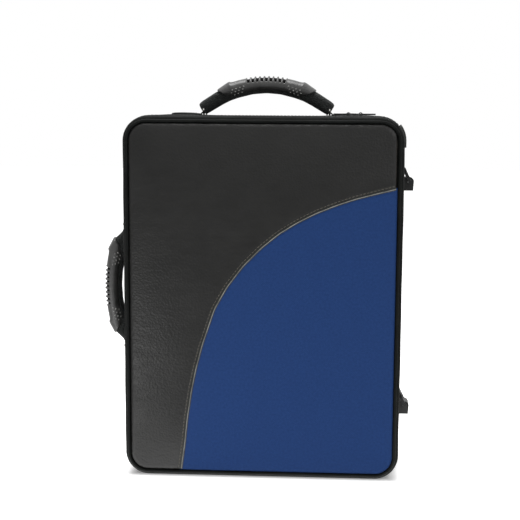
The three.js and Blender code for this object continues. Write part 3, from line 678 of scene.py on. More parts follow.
def wall_profiles(side, channel, far, shoulder):
    """One half's wall as two closed profiles of (inset, y) with as many points: with a rolled hem beside the
    zip, and flush along the spine."""
    edge = split + side * half_split_gap
    hem_foot = channel + side * (hem_width + 1)
    zip_corners = [
        (wall, edge), (channel_depth, edge), (channel_depth, channel), (0.2, channel),
        (-hem_rise, channel + side), (-hem_rise, channel + side * hem_width),
        (0, hem_foot), (0, far), (wall, far),
    ]
    spine_corners = [
        (wall, edge), (spine_seat, edge), (spine_seat, channel), (spine_seat, channel + side),
        (spine_seat, channel + side * 2.5), (0, channel + side * 3.6),
        (0, hem_foot), (0, far), (wall, far),
    ]
    radii = [0.4, 0.4, 0.4, 0.7, 0.6, 0.6, 0.6, shoulder, 0.4]
    zip_line, spine_line = softened(zip_corners, radii), softened(spine_corners, radii)
    zip_profile = subdivided(zip_line, 4.0)
    length, places = cumulated(zip_line), cumulated(zip_profile)
    return zip_profile, interpolated(places / places[-1] * length[-1], length, spine_line)


def add_walls():
    """The lid's and the base's side walls, each a hoop round the outline. The cloth wanders a little and
    swells beside the handle's ends."""
    distance = outline_steps(0, outline_total, 5.0)
    weight = spine_share(distance)[:, None, None]
    on_top = smooth_step(outline_at(distance)[3], 0.9, 1.0)[:, None]
    turn = distance[:, None] / outline_total * FULL_TURN
    for half, side, channel, far in halves:
        zip_profile, spine_profile = wall_profiles(side, channel, far, shoulders[half])
        profile = (1 - weight) * zip_profile + weight * spine_profile
        inset, depth = profile[..., 0], profile[..., 1]
        outer = inset < outer_depth
        wander = wall_wander * np.sin(turn * 17 + depth / 7) * np.sin(depth / 5 + turn * 9)
        points = around(distance, inset - np.where(outer, wander, 0.0), depth)
        rise = on_top * outer * cloth_rise(points[..., 0], points[..., 1], *cloth_span[half])
        points[..., 2] = np.maximum(points[..., 2] + rise, 0.0)
        hoop = skin(points, closed_path=True)
        add_piece(half + "_wall", hoop, "side_cloth", half, [half + "_frame"])


wall_stitch = bead(3.0, 0.7, 0.6)


def add_hem_stitches():
    """Thread along both hems. At the bottom it is kept clear of the floor."""
    distance = np.arange(zip_start + 6, zip_end - 6, stitch_pitch)
    for half, side, channel, _ in halves:
        centres, *axes = outline_frame(distance, -hem_rise - 0.1, channel + side * hem_stitch_line)
        centres[:, 2] = np.maximum(centres[:, 2], stitch_clearance)
        add_piece(half + "_hem_stitches", copies(wall_stitch, centres, *axes), "black_thread", half)


# The zip

def add_zip():
    """Tapes that run from the walls' hems to the teeth, and the two rows of nylon teeth between them."""
    distance = outline_steps(zip_start, zip_end, 5.0)
    tooth = skin(slab(-tooth_half_size, tooth_half_size, 1, tooth_edge, steps=2))
    teeth_at = np.arange(zip_start + 2, zip_end - 2, tooth_pitch)
    share = np.linspace(0, 1, 9)
    for half, side, channel, _ in halves:
        hem_end, teeth_end = channel + side * tape_under_hem, channel - side * tape_reach
        upper = stacked(tape_depth + tape_fall * share, hem_end + (teeth_end - hem_end) * share)
        profile = closed(np.concatenate([upper, upper[::-1] + [tape_thickness, 0.0]]))
        tape = skin(around(distance, profile[:, 0], profile[:, 1]))
        add_piece("zip_tape_cloth_" + half, tape, "webbing", half, ["zip_tape_" + half])
        row = teeth_at + (tooth_pitch / 2 if half == "base" else 0.0)
        teeth = copies(tooth, *outline_frame(row, tooth_inset, split + side * tooth_from_split))
        add_piece("zip_teeth_row_" + half, teeth, "zip_nylon", half, ["zip_teeth_" + half])


def add_spine():
    """The cloth spine: one strip from wall to wall over the hinge line, bent slightly outwards in the middle,
    and sewn down by a row of stitches on each side."""
    low, high = spine_low + spine_end_gap, spine_high - spine_end_gap
    share = np.linspace(-1, 1, 41)
    outer = stacked(share * spine_half_width, 0.15 + 0.25 * (1 - share ** 2) + 0.12 * np.cos(share * 11))
    inner = stacked(share[::-1] * spine_half_width, -0.75)
    loop = closed(np.concatenate([outer, inner]))
    path = stacked(half_width, split, np.linspace(low, high, 90))
    piece = add_piece("spine_cloth", skin(swept(path, Y, X, *loop.T)), "side_cloth", None,
                      ["hinge_leaf_lid", "hinge_leaf_base"])
    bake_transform(piece)
    places = np.arange(low + 4, high - 3, stitch_pitch)
    for half, side, _, _ in halves:
        centres = stacked(half_width + 0.3, split + side * spine_stitch_line, places)
        add_piece("spine_stitches_" + half, copies(wall_stitch, centres, Z, Y, -X), "black_thread", half)


def add_end_tabs():
    """The leaf-shaped tabs over the zip's ends, on the base beside the right-hand corners: a pointed strip
    that follows the corner, raised along its middle. The lower one is pressed nearly flat."""
    share = np.linspace(0, 1, 40)
    run_start = zip_start - 3.0
    run_end = height / 2 - corner_radius + 0.66 * corner_radius
    x, z, normal_x, normal_z = outline_at(run_start + (run_end - run_start) * share)
    taper = np.sqrt(np.clip(1 - np.clip((share - 0.35) / 0.65, 0, 1) ** 2.2, 0.001, 1))
    taper = taper * np.sqrt(np.clip(share / 0.06, 0.05, 1))
    angle = np.linspace(0, FULL_TURN, 33)
    section = 1.6 + 1.3 * squared(np.sin(angle), 0.6) + 0.5 * (np.sin(angle) > 0.5)
    for name, side, fullness in (("zip_end_tab_top", 1, 1.0), ("zip_end_tab_bottom", -1, 0.35)):
        low, high = box_mm(name)
        path = stacked(x, (low[1] + high[1]) / 2, height / 2 + side * (z - height / 2))
        width = (high[1] - low[1]) / 2 * taper[:, None] * squared(np.cos(angle), 0.7)
        outward = stacked(normal_x, 0.0, side * normal_z)
        tab = skin(swept(path, Y, outward, width, 0.3 + fullness * (section - 0.3)))
        add_piece(name + "_leaf", tab, "fold", "base", [name])


# The front and the back

def inside_distance(x, z, inset):
    """Distance inwards from the outline moved inwards by `inset`."""
    radius = corner_radius - inset
    over_x = np.abs(x) - (half_width - inset - radius)
    over_z = np.abs(z - height / 2) - (height / 2 - inset - radius)
    outside = np.hypot(np.maximum(over_x, 0), np.maximum(over_z, 0))
    return radius - outside - np.minimum(np.maximum(over_x, over_z), 0)


def crown_share(x, z, inset):
    """The pad's rise from its edge: F(dx) * F(dz), where F(t) = 1 - (1 - t / reach)^sharpness."""
    share_x = np.clip((half_width - inset - np.abs(x)) / bulge_reach, 0, 1)
    share_z = np.clip((height / 2 - inset - np.abs(z - height / 2)) / bulge_reach, 0, 1)
    return (1 - (1 - share_x) ** bulge_sharpness) * (1 - (1 - share_z) ** bulge_sharpness)


def edge_roll(distance, width, rise):
    """A quarter-ellipse from 0 at the edge to `rise` at `width` inside it."""
    return rise * np.sqrt(1 - (1 - np.clip(distance / width, 0, 1)) ** 2)


def front_surface(x, z, dip):
    """y of the padded front, with slow waves of 0.25 mm in the padding. A dip is whole on the crown and about
    a third as deep at the edge."""
    roll = edge_roll(inside_distance(x, z, panel_inset), panel_roll, panel_roll_rise)
    crown = crown_share(x, z, panel_inset)
    waves = 0.25 * np.sin(x / 31 + 0.7) * np.sin(z / 43) + 0.12 * np.sin(x / 13 + z / 17)
    return panel_back - roll - panel_bulge * crown - waves * crown + dip * (0.35 + 0.65 * crown)


# The seam runs from the right edge to the bottom edge. The front's rays start from the lower right corner.
seam_line = even_line(seam_shares * [half_width, height], 1.5)
ray_corner = np.array([half_width - panel_inset, panel_inset])


def polar(points):
    """Angle, from left upwards, and distance of points seen from the corner."""
    away = points - ray_corner
    return np.arctan2(away[:, 1], -away[:, 0]), np.hypot(away[:, 0], away[:, 1])


def radius_at(angle, line):
    """Distance from the corner to a line at each angle."""
    line_angle, distance = polar(line)
    order = np.argsort(line_angle)
    return np.interp(angle, line_angle[order], distance[order])


def panel_outline(first, last, count):
    """The front panel's outline between two distances along the walls' outline."""
    corners = outline_lengths[(outline_lengths > first) & (outline_lengths < last)]
    distance = np.unique(np.concatenate([np.linspace(first, last, count), corners]))
    return around(distance, panel_inset, 0.0)[:, 0, [0, 2]]


def panel_skin(angle, near, far, fine_near, fine_far, count):
    """The part of the front between two distances from the corner, at each angle: a forward face, with the
    seam's dip, and a flat back. Rows are rays from the corner, with closer points near both ends."""
    length = far - near
    lead = np.minimum(fine_near, length * 0.25)[:, None]
    tail = np.minimum(fine_far, length * 0.3)[:, None]
    radius = near[:, None] + np.concatenate([
        lead * np.linspace(0, 1, 9)[:-1],
        lead + (length[:, None] - lead - tail) * np.linspace(0, 1, count),
        length[:, None] - tail * (1 - np.linspace(0, 1, 19)[1:]) ** 1.5,
    ], axis=1)
    x = ray_corner[0] - np.cos(angle)[:, None] * radius
    z = ray_corner[1] + np.sin(angle)[:, None] * radius
    to_seam = np.abs(radius - radius_at(angle, seam_line)[:, None])
    dip = seam_dip * np.exp(-(to_seam / seam_dip_width) ** 2)
    dip = dip + wide_dip * np.exp(-(to_seam / wide_dip_width) ** 2)
    front = stacked(x, front_surface(x, z, dip), z)
    back = front[:, ::-12].copy()
    back[..., 1] = panel_back
    loop = np.concatenate([front, back, front[:, :1]], axis=1)
    return skin(loop, uv=loop[..., [0, 2]] * MM)


def add_front():
    """The blue cloth between the lower right corner and the seam, and the leatherette from there to the other
    three corners. Rays are closer together near the right and the bottom edge."""
    shares = np.linspace(0, 1, 230)
    angle = QUARTER_TURN * (shares - 0.97 * np.sin(FULL_TURN * shares) / FULL_TURN)
    near = radius_at(angle, panel_outline(outline_lengths[-26], outline_lengths[-2], 60))
    blue = panel_skin(angle, near, radius_at(angle, seam_line) - half_seam_gap, 3.0, 5.0, 110)
    add_piece("blue_front", blue, "blue", "lid", ["blue_panel"])
    far_line = panel_outline(outline_lengths[1], outline_lengths[-27], 320)
    every = np.unique(np.concatenate([angle, polar(far_line)[0], [0.0, QUARTER_TURN]]))
    every = every[(every >= 0) & (every <= QUARTER_TURN)]
    every = every[np.concatenate([[True], np.diff(every) > 0.0006])]
    near = radius_at(every, seam_line) + half_seam_gap
    leather = panel_skin(every, near, radius_at(every, far_line), 6.0, 9.0, 80)
    add_piece("leather_front", leather, "leather", "lid", ["leather_panel"])


def seam_frame():
    """The seam on the padded surface: points, directions along it and directions towards the leatherette."""
    line = seam_line[inside_distance(seam_line[:, 0], seam_line[:, 1], panel_inset) > 0.6]
    along = unit(np.gradient(line, axis=0))
    path = stacked(line[:, 0], front_surface(line[:, 0], line[:, 1], seam_dip + wide_dip), line[:, 1])
    return path, stacked(along[:, 0], 0.0, along[:, 1]), stacked(along[:, 1], 0.0, -along[:, 0])


def add_seam():
    """The leatherette's folded edge over the blue cloth, its pale painted cut, a black cord under it that is
    painted shadow along the fold's edge, and a row of brown stitches."""
    path, along, towards = seam_frame()
    corners = [(-0.6, -0.6), (-0.75, binding_rise), (1.2, binding_rise + 0.25), (binding_width, 0.75),
               (binding_width + 1.2, 0.25), (binding_width + 1.0, -0.6)]
    loop = softened(corners, [0.3, 0.55, 0.8, 0.8, 0.5, 0.3], steps=4)
    fold = skin(swept(path, towards, -Y, *loop.T))
    add_piece("seam_fold", fold, "fold", "lid", ["seam_binding"])
    angle = np.linspace(0, FULL_TURN, 11)
    for name, aside, forward, radius, finish in (
            ("seam_edge_line", -0.85, binding_rise - 0.1, 0.4, "edge_paint"),
            # The black cord is painted shadow: a dark line beside the fold.
            ("seam_painted_shadow_cord", -1.75, 0.15, 0.5, "black_thread")):
        section = aside + radius * np.cos(angle), forward + radius * np.sin(angle)
        add_piece(name, skin(swept(path, towards, -Y, *section)), finish, "lid")
    length = cumulated(path)
    places = np.arange(2.5, length[-1] - 2, seam_stitch_pitch)
    centres, along, towards = (interpolated(places, length, rows) for rows in (path, along, towards))
    centres += towards * seam_stitch_line - Y * (binding_rise + 0.1)
    stitches = copies(bead(2.9, 0.6, 0.5), centres, unit(along), unit(towards), -Y)
    add_piece("seam_stitches", stitches, "seam_thread", "lid")


def add_piping():
    """Cloth-covered cord round the front panel and the back pad, with a slight ripple."""
    distance = outline_steps(0, outline_total, 4.0)
    angle = np.linspace(0, FULL_TURN, 19)
    radius = piping_radius + 0.06 * np.sin(distance / 3.1)[:, None]
    for end, inset, depth, body in (
            ("front", front_piping_inset, front_piping_y, "lid"),
            ("back", back_piping_inset, back_piping_y, "base")):
        cord = around(distance, inset + radius * np.cos(angle), depth + radius * np.sin(angle))
        add_piece(end + "_piping_cord", skin(cord, closed_path=True), "piping", body, [end + "_piping"])


def add_back():
    """The back pad: loops of the outline from its edge inwards, over a rolled edge, to a low crown's top."""
    low, high = box_mm("back_pad")
    inset = half_width - high[0]
    distance = outline_steps(0, outline_total, 5.0)
    insets = inset + np.array([0.0, 0.05, 0.2, 0.5, 1.0, 1.8, 3.0, 4.5, 6.5, 9.0, 12.0])
    rings = around(distance, insets, 0.0).transpose(1, 0, 2)
    centre = np.array([0.0, 0.0, height / 2])
    scale = (1 - np.linspace(0, 1, 42)[1:-1] ** 0.9)[:, None, None]
    rings = np.concatenate([rings, centre + (rings[-1] - centre) * scale])
    roll = edge_roll(inside_distance(rings[..., 0], rings[..., 2], inset), cushion_roll, cushion_roll_rise)
    crown = high[1] - base_back - cushion_roll_rise + cushion_swell
    rings[..., 1] = base_back + roll + crown * crown_share(rings[..., 0], rings[..., 2], inset)
    under = rings[:1].copy()
    under[..., 1] = low[1]
    points = np.concatenate([under, rings])
    pad = skin(points, uv=points[..., [0, 2]] * MM)
    add_piece("back_cushion", pad, "side_cloth", "base", ["back_pad"])


# The handles

def top_place(points):
    """(u, v, w) of the top handle to x, y, z."""
    return stacked(points[..., 0], handle_back + points[..., 2], height + points[..., 1])


def side_wall_place(points):
    """(u, v, w) on the left wall to x, y, z."""
    return stacked(-half_width - points[..., 1], handle_back + points[..., 2], side_handle_z + points[..., 0])


def bow_drop(u):
    """How far the side handle's bow lies below the top handle's: drop * (0.765 - (u / ring_u)^2 / 2)."""
    return side_bow_drop * (0.765 - 0.5 * (u / ring_u) ** 2)


def side_place(points):
    """(u, v, w) of the side handle to x, y, z, with its flatter bow."""
    lowered = np.array(points)
    lowered[..., 1] -= bow_drop(points[..., 0])
    return side_wall_place(lowered)


def mirrored(half_line, count):
    """The half line with its mirror image, rounded a little, as `count` points from one end to the other."""
    whole = np.concatenate([half_line[::-1] * [-1, 1], half_line[1:]])
    line = interpolated(np.linspace(-1, 1, count), np.linspace(-1, 1, len(whole)), whole)
    return averaged(line, count // 60)


def grip_points(rows=420, columns=57):
    """The grip's skin: sections a little fuller than ellipses between the outer and the inner edge line,
    drawn in at the ends, with notches cut down from the outer edge. The ribs between them rise to a point."""
    outer = mirrored(grip_outer, rows)
    inner = mirrored(grip_inner, rows)
    share = np.linspace(-1, 1, rows)
    angle = np.linspace(0, FULL_TURN, columns)
    reach = (outer - inner) / 2
    shrink = 1 - 0.1 * smooth_step(np.abs(share), 0.985, 1.0)
    level = squared(np.cos(angle), grip_squareness) * shrink[:, None]
    u = outer[:, 0]
    phase = np.abs((u + notch_pitch * 0.5) % notch_pitch - notch_pitch * 0.5)
    in_ribs = np.abs(u) < notch_count * notch_pitch / 2
    cut = notch_depth * (1 - smooth_step(phase, 1.25, 1.6)) + (1 - smooth_step(phase, 1.5, 2.4)) - rib_rise
    cut = np.where(in_ribs, cut, 0.0)
    ceiling = (1 - cut / np.linalg.norm(reach, axis=-1))[:, None]
    level = np.where(level > 0, np.minimum(level * np.maximum(ceiling, 1.0), ceiling), level)
    half = grip_half_width * (1 - 0.12 * np.abs(share) ** 3) * shrink
    points = np.zeros((rows, columns, 3))
    points[..., :2] = (outer + inner)[:, None] / 2 + reach[:, None] * level[..., None]
    points[..., 2] = half[:, None] * squared(np.sin(angle), grip_squareness)
    return points


def painted_shade_bed_points():
    """The near-black bed that shows in the notches, painted shade that darkens them: a bow under the ribs'
    tips, narrower than the grip.
    """
    below, half_thickness, half_width_less = 1.3, 3.4, 4.6
    u = np.linspace(-0.5, 0.5, 60)[:, None] * (notch_count * notch_pitch + 2)
    top = np.interp(np.abs(u), grip_outer[:, 0], grip_outer[:, 1]) - below
    angle = np.linspace(0, FULL_TURN, 33)
    return stacked(u, top - half_thickness + half_thickness * squared(np.cos(angle), 0.8),
                   (grip_half_width - half_width_less) * squared(np.sin(angle), 0.8))


def add_studs(name, place):
    """Four rows of three studs on each side of both of the grip's faces. They lie on its section, where
    |v|^(2/p) + |w|^(2/p) = 1 for shares v and w of its half sizes."""
    row, column = (part.ravel() for part in np.meshgrid(np.arange(4), np.arange(3), indexing="ij"))
    u = stud_start[0] + row * stud_pitch[0] + column * stud_slant[0]
    v = stud_start[1] - (u - stud_start[0]) * stud_slant[1] - column * stud_pitch[1]
    top = np.interp(u, grip_outer[:, 0], grip_outer[:, 1])
    bottom = np.interp(u, grip_inner[:, 0], grip_inner[:, 1])
    level = (v - (top + bottom) / 2) / ((top - bottom) / 2)
    w = grip_half_width * (1 - np.abs(level) ** (2 / grip_squareness)) ** (grip_squareness / 2) * 0.985
    centres = np.concatenate([stacked(side * u, v, face * w) for side in (-1, 1) for face in (-1, 1)])
    outward = unit(stacked(0.0, np.tile(0.8 * level, 4), np.sign(centres[:, 2])))
    vertices, *faces = copies(bead(1.7, 1.3, 1.3), centres, X, np.cross(outward, X), outward)
    add_piece(name + "_studs", (place(vertices), *faces), "stud", name)


def add_sleeve(name, place):
    """The padded cloth sleeve inside the grip, which narrows towards its ends. The side handle's is lower
    there, and stays above the wall."""
    rows = 150
    outer = mirrored(sleeve_outer, rows)
    inner = mirrored(sleeve_inner, rows)
    if name == "side_handle":
        outer[:, 1] -= 4.5 * smooth_step(np.abs(outer[:, 0]), 52, 62)
        reach = np.abs(inner[:, 0])
        inner[:, 1] = np.maximum(inner[:, 1], bow_drop(reach) + 2.2 + 1.2 * smooth_step(reach, 61, 66))
    share = np.abs(np.linspace(-1, 1, rows))
    half = np.interp(share, [0, 0.48, 0.6, 0.72, 1.0], [8.2, 8.2, 6.8, 5.8, 5.2])
    shrink = (1 - 0.25 * smooth_step(share, 0.97, 1.0))[:, None]
    angle = np.linspace(0, FULL_TURN, 37)
    level = (squared(np.cos(angle), 0.75) * shrink)[..., None]
    sleeve = np.zeros((rows, len(angle), 3))
    sleeve[..., :2] = (outer + inner)[:, None] / 2 + (outer - inner)[:, None] / 2 * level
    sleeve[..., 2] = half[:, None] * squared(np.sin(angle), 0.75) * shrink
    add_piece(name + "_sleeve", skin(place(sleeve)), "sleeve", name, [name + "_core"])


def add_ring(name, end, side, place):
    """The wire ring at one end of a handle: a torus of the ring's radius and the wire's."""
    turn = np.linspace(0, FULL_TURN, 49)
    wire = np.linspace(0, FULL_TURN, 17)
    away = stacked(0.0, np.sin(turn), np.cos(turn))
    path = [side * ring_u, ring_height, 0.0] + away * ring_radius
    ring = place(swept(path, away, X, ring_wire * np.cos(wire), ring_wire * np.sin(wire)))
    add_piece(f"{name}_wire_ring_{end}", skin(ring, closed_path=True), "steel", "base",
              [f"{name}_ring_{end}"])


def add_webbing(name, end, side, place):
    """The webbing that holds a ring: an arch over the wire and a flat length on the wall, sewn down with a
    box and a cross. On the top wall it follows the cloth's rise."""
    def wall_rise(u):
        return cloth_rise(u, handle_back, *cloth_span["base"]) if name == "top_handle" else 0.0 * u

    start = ring_u + flat_start
    flat_u = np.linspace(start - 1, start + anchor_length, 36)[1:]
    turn = np.linspace(math.pi * 0.98, 0.02 * math.pi, 14)[:-1]
    strap_u = np.concatenate([ring_u + arch_half_length * np.cos(turn), flat_u])
    strap_v = np.concatenate([arch_middle + arch_height * np.sin(turn), anchor_middle + wall_rise(flat_u)])
    path = stacked(side * strap_u, strap_v, 0.0)
    outward = np.cross(Z, unit(np.gradient(path, axis=0))) * side
    loop, _ = rounded_loop(1.0, anchor_thickness / 2, 0.45 * anchor_thickness, steps=3, straight=9)
    width = np.interp(strap_u, [ring_u + 2.6, ring_u + 5.5], [2.3, anchor_half_width])
    strap = skin(place(swept(path, Z, outward, width[:, None] * loop[:, 0], loop[:, 1])))
    add_piece(f"{name}_webbing_{end}", strap, "webbing", "base", [f"{name}_anchor_{end}"])

    first, last, edge = start + 6, start + anchor_length - box_end_gap, anchor_half_width - box_side_gap
    box = np.array([(first, -edge), (last, -edge), (last, edge), (first, edge), (first, -edge), (last, edge)])
    cross = np.array([(last, -edge), (first, edge)])
    runs = [even_line(ends, box_stitch_pitch) for ends in (*(box[k:k + 2] for k in range(5)), cross)]
    u, w = np.concatenate([(run[:-1] + run[1:]) / 2 for run in runs]).T
    heading = unit(np.concatenate([np.diff(run, axis=0) for run in runs]))
    centres = stacked(side * u, anchor_middle + anchor_thickness / 2 + wall_rise(u), w)
    along = stacked(side * heading[:, 0], 0.0, heading[:, 1])
    vertices, *faces = copies(bead(2.1, 0.6, 0.5), centres, along, np.cross(Y, along), Y)
    add_piece(f"{name}_stitches_{end}", (place(vertices), *faces), "black_thread", "base")


def add_handle(name, place, wall_place, ends):
    """A ribbed rubber grip with studs on a padded sleeve, wire rings, and webbing sewn to the wall."""
    grip = skin(place(grip_points()))
    add_piece(name + "_rubber", grip, "rubber", name, [name + "_grip"])
    # Painted shade: the near-black bed under the ribs darkens the notches.
    add_piece(name + "_notch_painted_shade", skin(place(painted_shade_bed_points())), "notch_painted_shade", name)
    add_studs(name, place)
    add_sleeve(name, place)
    for side, end in zip((-1, 1), ends):
        add_ring(name, end, side, wall_place)
        add_webbing(name, end, side, wall_place)


def add_handles():
    """The top handle, and the same handle with a flatter bow on the left wall."""
    add_handle("top_handle", top_place, top_place, ("left", "right"))
    add_handle("side_handle", side_place, side_wall_place, ("lower", "upper"))


# The inside

def add_pad(node, body, radius):
    """A plush pad that fills the walls' outline: loops from the middle of one face, over its rounded edge, to
    the middle of the other. Both faces lie a little deeper at their edges."""
    low, high = box_mm(node)
    inset = half_width - high[0]
    turn = np.linspace(0, QUARTER_TURN, 6)
    edge = inset + radius * (1 - np.sin(turn))
    distance = outline_steps(0, outline_total, 6.0)
    rings = around(distance, edge, low[1] + radius * (1 - np.cos(turn))).transpose(1, 0, 2)
    centre = np.array([0.0, 0.0, height / 2])
    inner = centre + (rings[0] - centre) * np.linspace(0, 1, 26)[1:-1, None, None]
    inner[..., 1] = low[1]
    front = np.concatenate([inner, rings])
    back = front[::-1].copy()
    back[..., 1] = high[1] + low[1] - back[..., 1]
    points = np.concatenate([front, back])
    share = 1 - crown_share(points[..., 0], points[..., 2], inset + radius)
    points[..., 1] += pad_dip * share * np.where(points[..., 1] < (low[1] + high[1]) / 2, 1, -1)
    add_piece(node + "_plush", skin(points), "plush", body, [node])


def add_rail(node, axis, radius, dip):
    """A plush rail along an axis. Both faces dip by dip * (1 - a^2)(1 - b^2), for shares a and b from -1 to 1
    of its width and its height."""
    low, high = box_mm(node)
    points = slab(low, high, axis, radius, steps=6, straight=8, along_steps=60)
    share = (points - (low + high) / 2) / ((high - low) / 2)
    crown = 1 - np.clip(np.abs(share[..., [0, 2]]), 0, 1) ** 2
    points[..., 1] -= dip * share[..., 1] * crown.prod(axis=-1)
    add_piece(node + "_plush", skin(points), "plush", "base", [node])


def add_plush_parts():
    """Plush-covered foam: the floor, the rails between the wells, and the lid's pad."""
    add_pad("foam_floor", "base", 2.0)
    for nodes, axis, radius, dip in (
            (("well_rail_1", "well_rail_2", "well_rail_3", "centre_rail"), 2, 3.2, 0.9),
            (("cross_rail", "mid_rail"), 0, 2.4, 0.7),
            (("cell_divider_lower", "cell_divider_upper"), 2, 2.4, 0.6),
            (("bell_rail_lower", "bell_rail_upper"), 0, 3.2, 0.9)):
        for node in nodes:
            add_rail(node, axis, radius, dip)
    add_pad("lid_pad", "lid", 2.4)


def add_accessory_cover():
    """The compartment's cover, a plush-covered board, with a ribbon loop to pull it by. Its lower right
    corner is cut off to clear the wall's round corner: points beyond the cut are moved back by their distance
    from it."""
    low, high = box_mm("accessory_lid")
    points = slab(low, high, 1, 1.1, steps=4, straight=14)
    cut_start = np.array([high[0] + cover_gap - corner_radius, low[2]])
    cut_heading = unit(np.array([high[0], corner_radius]) - cut_start)
    cut_normal = np.array([cut_heading[1], -cut_heading[0]])
    beyond = np.maximum((points[..., [0, 2]] - cut_start) @ cut_normal, 0)
    points[..., [0, 2]] -= beyond[..., None] * cut_normal
    add_piece("accessory_cover_plush", skin(points), "plush", "accessory_cover",
              ["accessory_lid"])
    low, high = box_mm("accessory_ribbon")
    share = np.linspace(0, 1, 30)
    x = low[0] + 1 + (high[0] - low[0] - 1) * share
    path = stacked(x, high[1] - 0.35 - 0.15 * np.sin(share * math.pi), (low[2] + high[2]) / 2)
    loop, _ = rounded_loop((high[2] - low[2]) / 2, 0.28, 0.25, steps=3, straight=6)
    ribbon = skin(swept(path, Z, -Y, *loop.T))
    add_piece("accessory_ribbon_loop", ribbon, "webbing", "accessory_cover", ["accessory_ribbon"])


def add_pocket():
    """The sheet-music pocket: a shallow cloth bag, open at its top, whose mouth has a thicker hem and sags.
    It is loops at (z, inset) from the rounded bottom over the mouth and down the inside."""
    low, high = box_mm("lid_pocket")
    centre = (low + high) / 2
    half = (high - low) / 2
    top = high[2]
    outer, normal = rounded_loop(half[0], half[1], 2.4, steps=5, straight=30)
    bottom_turn = np.linspace(0, QUARTER_TURN, 5)
    rows = np.concatenate([
        stacked(low[2] + pocket_edge * (1 - np.cos(bottom_turn)), pocket_edge * (1 - np.sin(bottom_turn))),
        stacked(np.linspace(low[2] + 4, top - pocket_hem, 30), 0.0),
        [(top - pocket_hem + 0.5, -pocket_hem_rise), (top - 1.2, -pocket_hem_rise)],
        [(top - 0.3, 0.1), (top, 0.6)],
        [(top - 0.3, pocket_thickness), (top - 4, pocket_thickness)],
        stacked(np.linspace(top - pocket_hem, low[2] + 2.6, 24), pocket_thickness),
    ])
    across = centre[:2] + outer - normal * rows[:, 1, None, None]
    points = stacked(across[..., 0], across[..., 1], rows[:, :1])
    near_mouth = smooth_step(points[..., 2], top - 60, top)
    middle = 1 - np.clip(np.abs(points[..., 0]) / half[0], 0, 1) ** 2
    towards_base = smooth_step(points[..., 1], centre[1] - 1, centre[1] + 2)
    points[..., 2] -= pocket_sag * near_mouth * middle * towards_base
    add_piece("music_pocket", skin(points), "side_cloth", "lid", ["lid_pocket"])


# The stage

def floor_glow(tree):
    """How much the floor glows. The camera sees its whole glow from 8 mm beyond the case on, and less towards
    the case's foot, which is painted shadow; in reflections it is glow / (1 + (d / reach)^2), with d the
    distance from the case in metres, a painted reflection that is brightest beside the case."""
    glow, reach = 2.4, 0.12
    rays = add_node(tree, "LightPath").outputs
    place = add_node(tree, "TexCoord")
    axes = add_node(tree, "SeparateXYZ", {"Vector": place.outputs["Object"]})
    beyond = []
    for axis, half in (("X", half_width), ("Y", base_back)):
        size = add_node(tree, "Math", {0: axes.outputs[axis]}, operation="ABSOLUTE")
        beyond.append(add_node(tree, "Math", {0: size, 1: half * MM}, operation="SUBTRACT"))
    away = add_node(tree, "Math", dict(enumerate(beyond)), operation="MAXIMUM")
    # Painted shadow: the glow that the camera sees falls from 0.9 to 0.15 at the case's foot, so the floor is
    # darker there.
    direct = add_node(tree, "MapRange", {
        "Value": away, "From Min": -0.012, "From Max": 0.008, "To Min": 0.15, "To Max": 0.9,
    })
    # Painted reflection: in reflections the floor glows 2.4 beside the case and fades with distance, which
    # brightens the case's lower front.
    near = add_node(tree, "Math", {0: away, 1: 1 / reach}, operation="MULTIPLY")
    fading = add_node(tree, "Math", {0: near, 1: near, 2: 1.0}, operation="MULTIPLY_ADD")
    painted_reflection = add_node(tree, "Math", {0: glow, 1: fading}, operation="DIVIDE")
    seen = add_node(tree, "Math", {0: rays["Is Camera Ray"], 1: direct}, operation="MULTIPLY")
    return add_node(tree, "Math", {
        0: rays["Is Glossy Ray"], 1: painted_reflection, 2: seen,
    }, operation="MULTIPLY_ADD")


def add_floor():
    """A white floor that keeps the contact shadow, deepened by painted shadow where its glow drops at the
    case's foot, and with a painted reflection glow beside the case.
    """
    mesh = bpy.data.meshes.new("floor")
    reach = 6.0
    corners = [(-reach, -reach, 0), (reach, -reach, 0), (reach, reach, 0), (-reach, reach, 0)]
    mesh.from_pydata(corners, [], [(0, 1, 2, 3)])
    floor = bpy.data.objects.new("floor", mesh)
    bpy.context.scene.collection.objects.link(floor)
    material = bpy.data.materials.new("floor_white")
    tree = fresh_tree(material)
    paint = add_node(tree, "BsdfDiffuse", {"Color": (0.93, 0.93, 0.93, 1)})
    glow = add_node(tree, "Emission", {"Color": (1, 1, 1, 1), "Strength": floor_glow(tree)})
    both = add_node(tree, "AddShader", {0: paint, 1: glow})
    add_node(tree, "OutputMaterial", {"Surface": both})
    mesh.materials.append(material)


def add_surroundings():
    """White surroundings for the camera and for reflections, which light the case less."""
    world = bpy.data.worlds.new("white_room")
    tree = fresh_tree(world)
    rays = add_node(tree, "LightPath").outputs
    seen = add_node(tree, "Math", {
        0: rays["Is Camera Ray"], 1: rays["Is Glossy Ray"],
    }, operation="MAXIMUM")
    level = add_node(tree, "MapRange", {"Value": seen, "To Min": 0.4, "To Max": 1.0})
    background = add_node(tree, "Background", {"Color": (1, 1, 1, 1), "Strength": level})
    add_node(tree, "OutputWorld", {"Surface": background})
    bpy.context.scene.world = world


def look_along(thing, back, place, roll=0.0):
    """Puts an object at a place in metres. Its own Z points back and its X is level, before its roll."""
    right = unit(np.cross(Z if abs(back[2]) < 0.99 else Y, back))
    up = np.cross(back, right)
    turned_right = right * math.cos(roll) + up * math.sin(roll)
    turned_up = up * math.cos(roll) - right * math.sin(roll)
    columns = np.column_stack([turned_right, turned_up, back, place])
    thing.matrix_world = Matrix(np.vstack([columns, [0, 0, 0, 1]]).tolist())
    bpy.context.scene.collection.objects.link(thing)


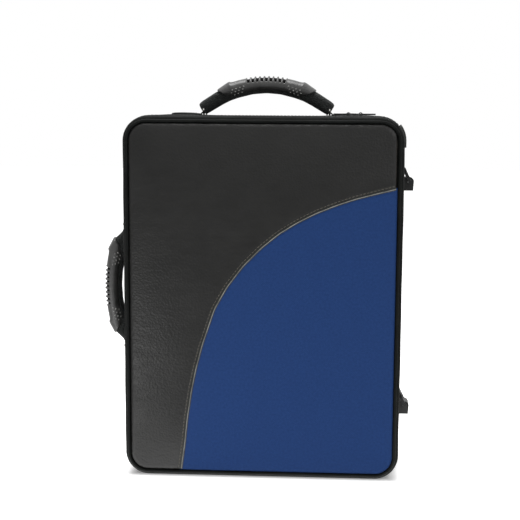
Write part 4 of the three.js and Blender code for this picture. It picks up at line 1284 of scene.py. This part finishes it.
def add_lamp(name, place, aim, size, watts):
    """A soft square lamp that points at a place."""
    light = bpy.data.lights.new(name, "AREA")
    light.shape = "SQUARE"
    light.size = size
    light.energy = watts
    look_along(bpy.data.objects.new(name, light), unit(np.subtract(place, aim)), place)


def add_camera():
    """The photograph's view: 1.4 m from the case, turned 3.6 degrees to its right and 8.8 above its middle.
    The focal length and the picture's centre are in pixels of the photograph."""
    azimuth, elevation, roll = np.radians([3.6, 8.8, 0.32])
    distance, focal, centre_x, centre_y, picture = 1.4, 1267.0, 264.5, 294.2, 520.0
    back = np.array([math.sin(azimuth) * math.cos(elevation), -math.cos(azimuth) * math.cos(elevation),
                     math.sin(elevation)])
    data = bpy.data.cameras.new("photo_view")
    data.sensor_width = 36.0
    data.lens = focal / picture * data.sensor_width
    data.shift_x = -(centre_x - picture / 2) / picture
    data.shift_y = (centre_y - picture / 2) / picture
    data.clip_start = 0.05
    data.clip_end = 50.0
    camera = bpy.data.objects.new("photo_view", data)
    look_along(camera, back, Z * height / 2 * MM + back * distance, roll)
    bpy.context.scene.camera = camera


def finish_cad_nodes():
    """The hard pieces that stay as the CAD made them get their finishes."""
    straps = [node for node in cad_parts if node.startswith("strap_")]
    kept = {
        "board": ["front_board", "back_board"],
        "zip_metal": ["zip_slider_left", "zip_slider_right", "zip_stop_top", "zip_stop_bottom"],
        "plastic": ["zip_pull_left", "zip_pull_right", *straps],
    }
    for finish, nodes in kept.items():
        for node in nodes:
            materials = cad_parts[node].data.materials
            materials.clear()
            materials.append(finishes[finish])


add_camera()
add_floor()
add_surroundings()
add_lamp("right_front_lamp", (1.3, -1.2, 0.9), (0.0, 0.0, 0.2), 1.2, 6)
add_lamp("overhead_lamp", (-0.1, 0.05, 1.5), (0.0, 0.0, 0.3), 0.9, 17)
add_lamp("left_lamp", (-0.33, -0.36, 0.03), (-0.1, -0.05, 0.0), 0.15, 0.38)
bpy.context.scene.view_settings.view_transform = "Standard"
add_walls()
add_hem_stitches()
add_zip()
add_spine()
add_end_tabs()
add_front()
add_seam()
add_piping()
add_back()
add_handles()
add_plush_parts()
add_accessory_cover()
add_pocket()
finish_cad_nodes()
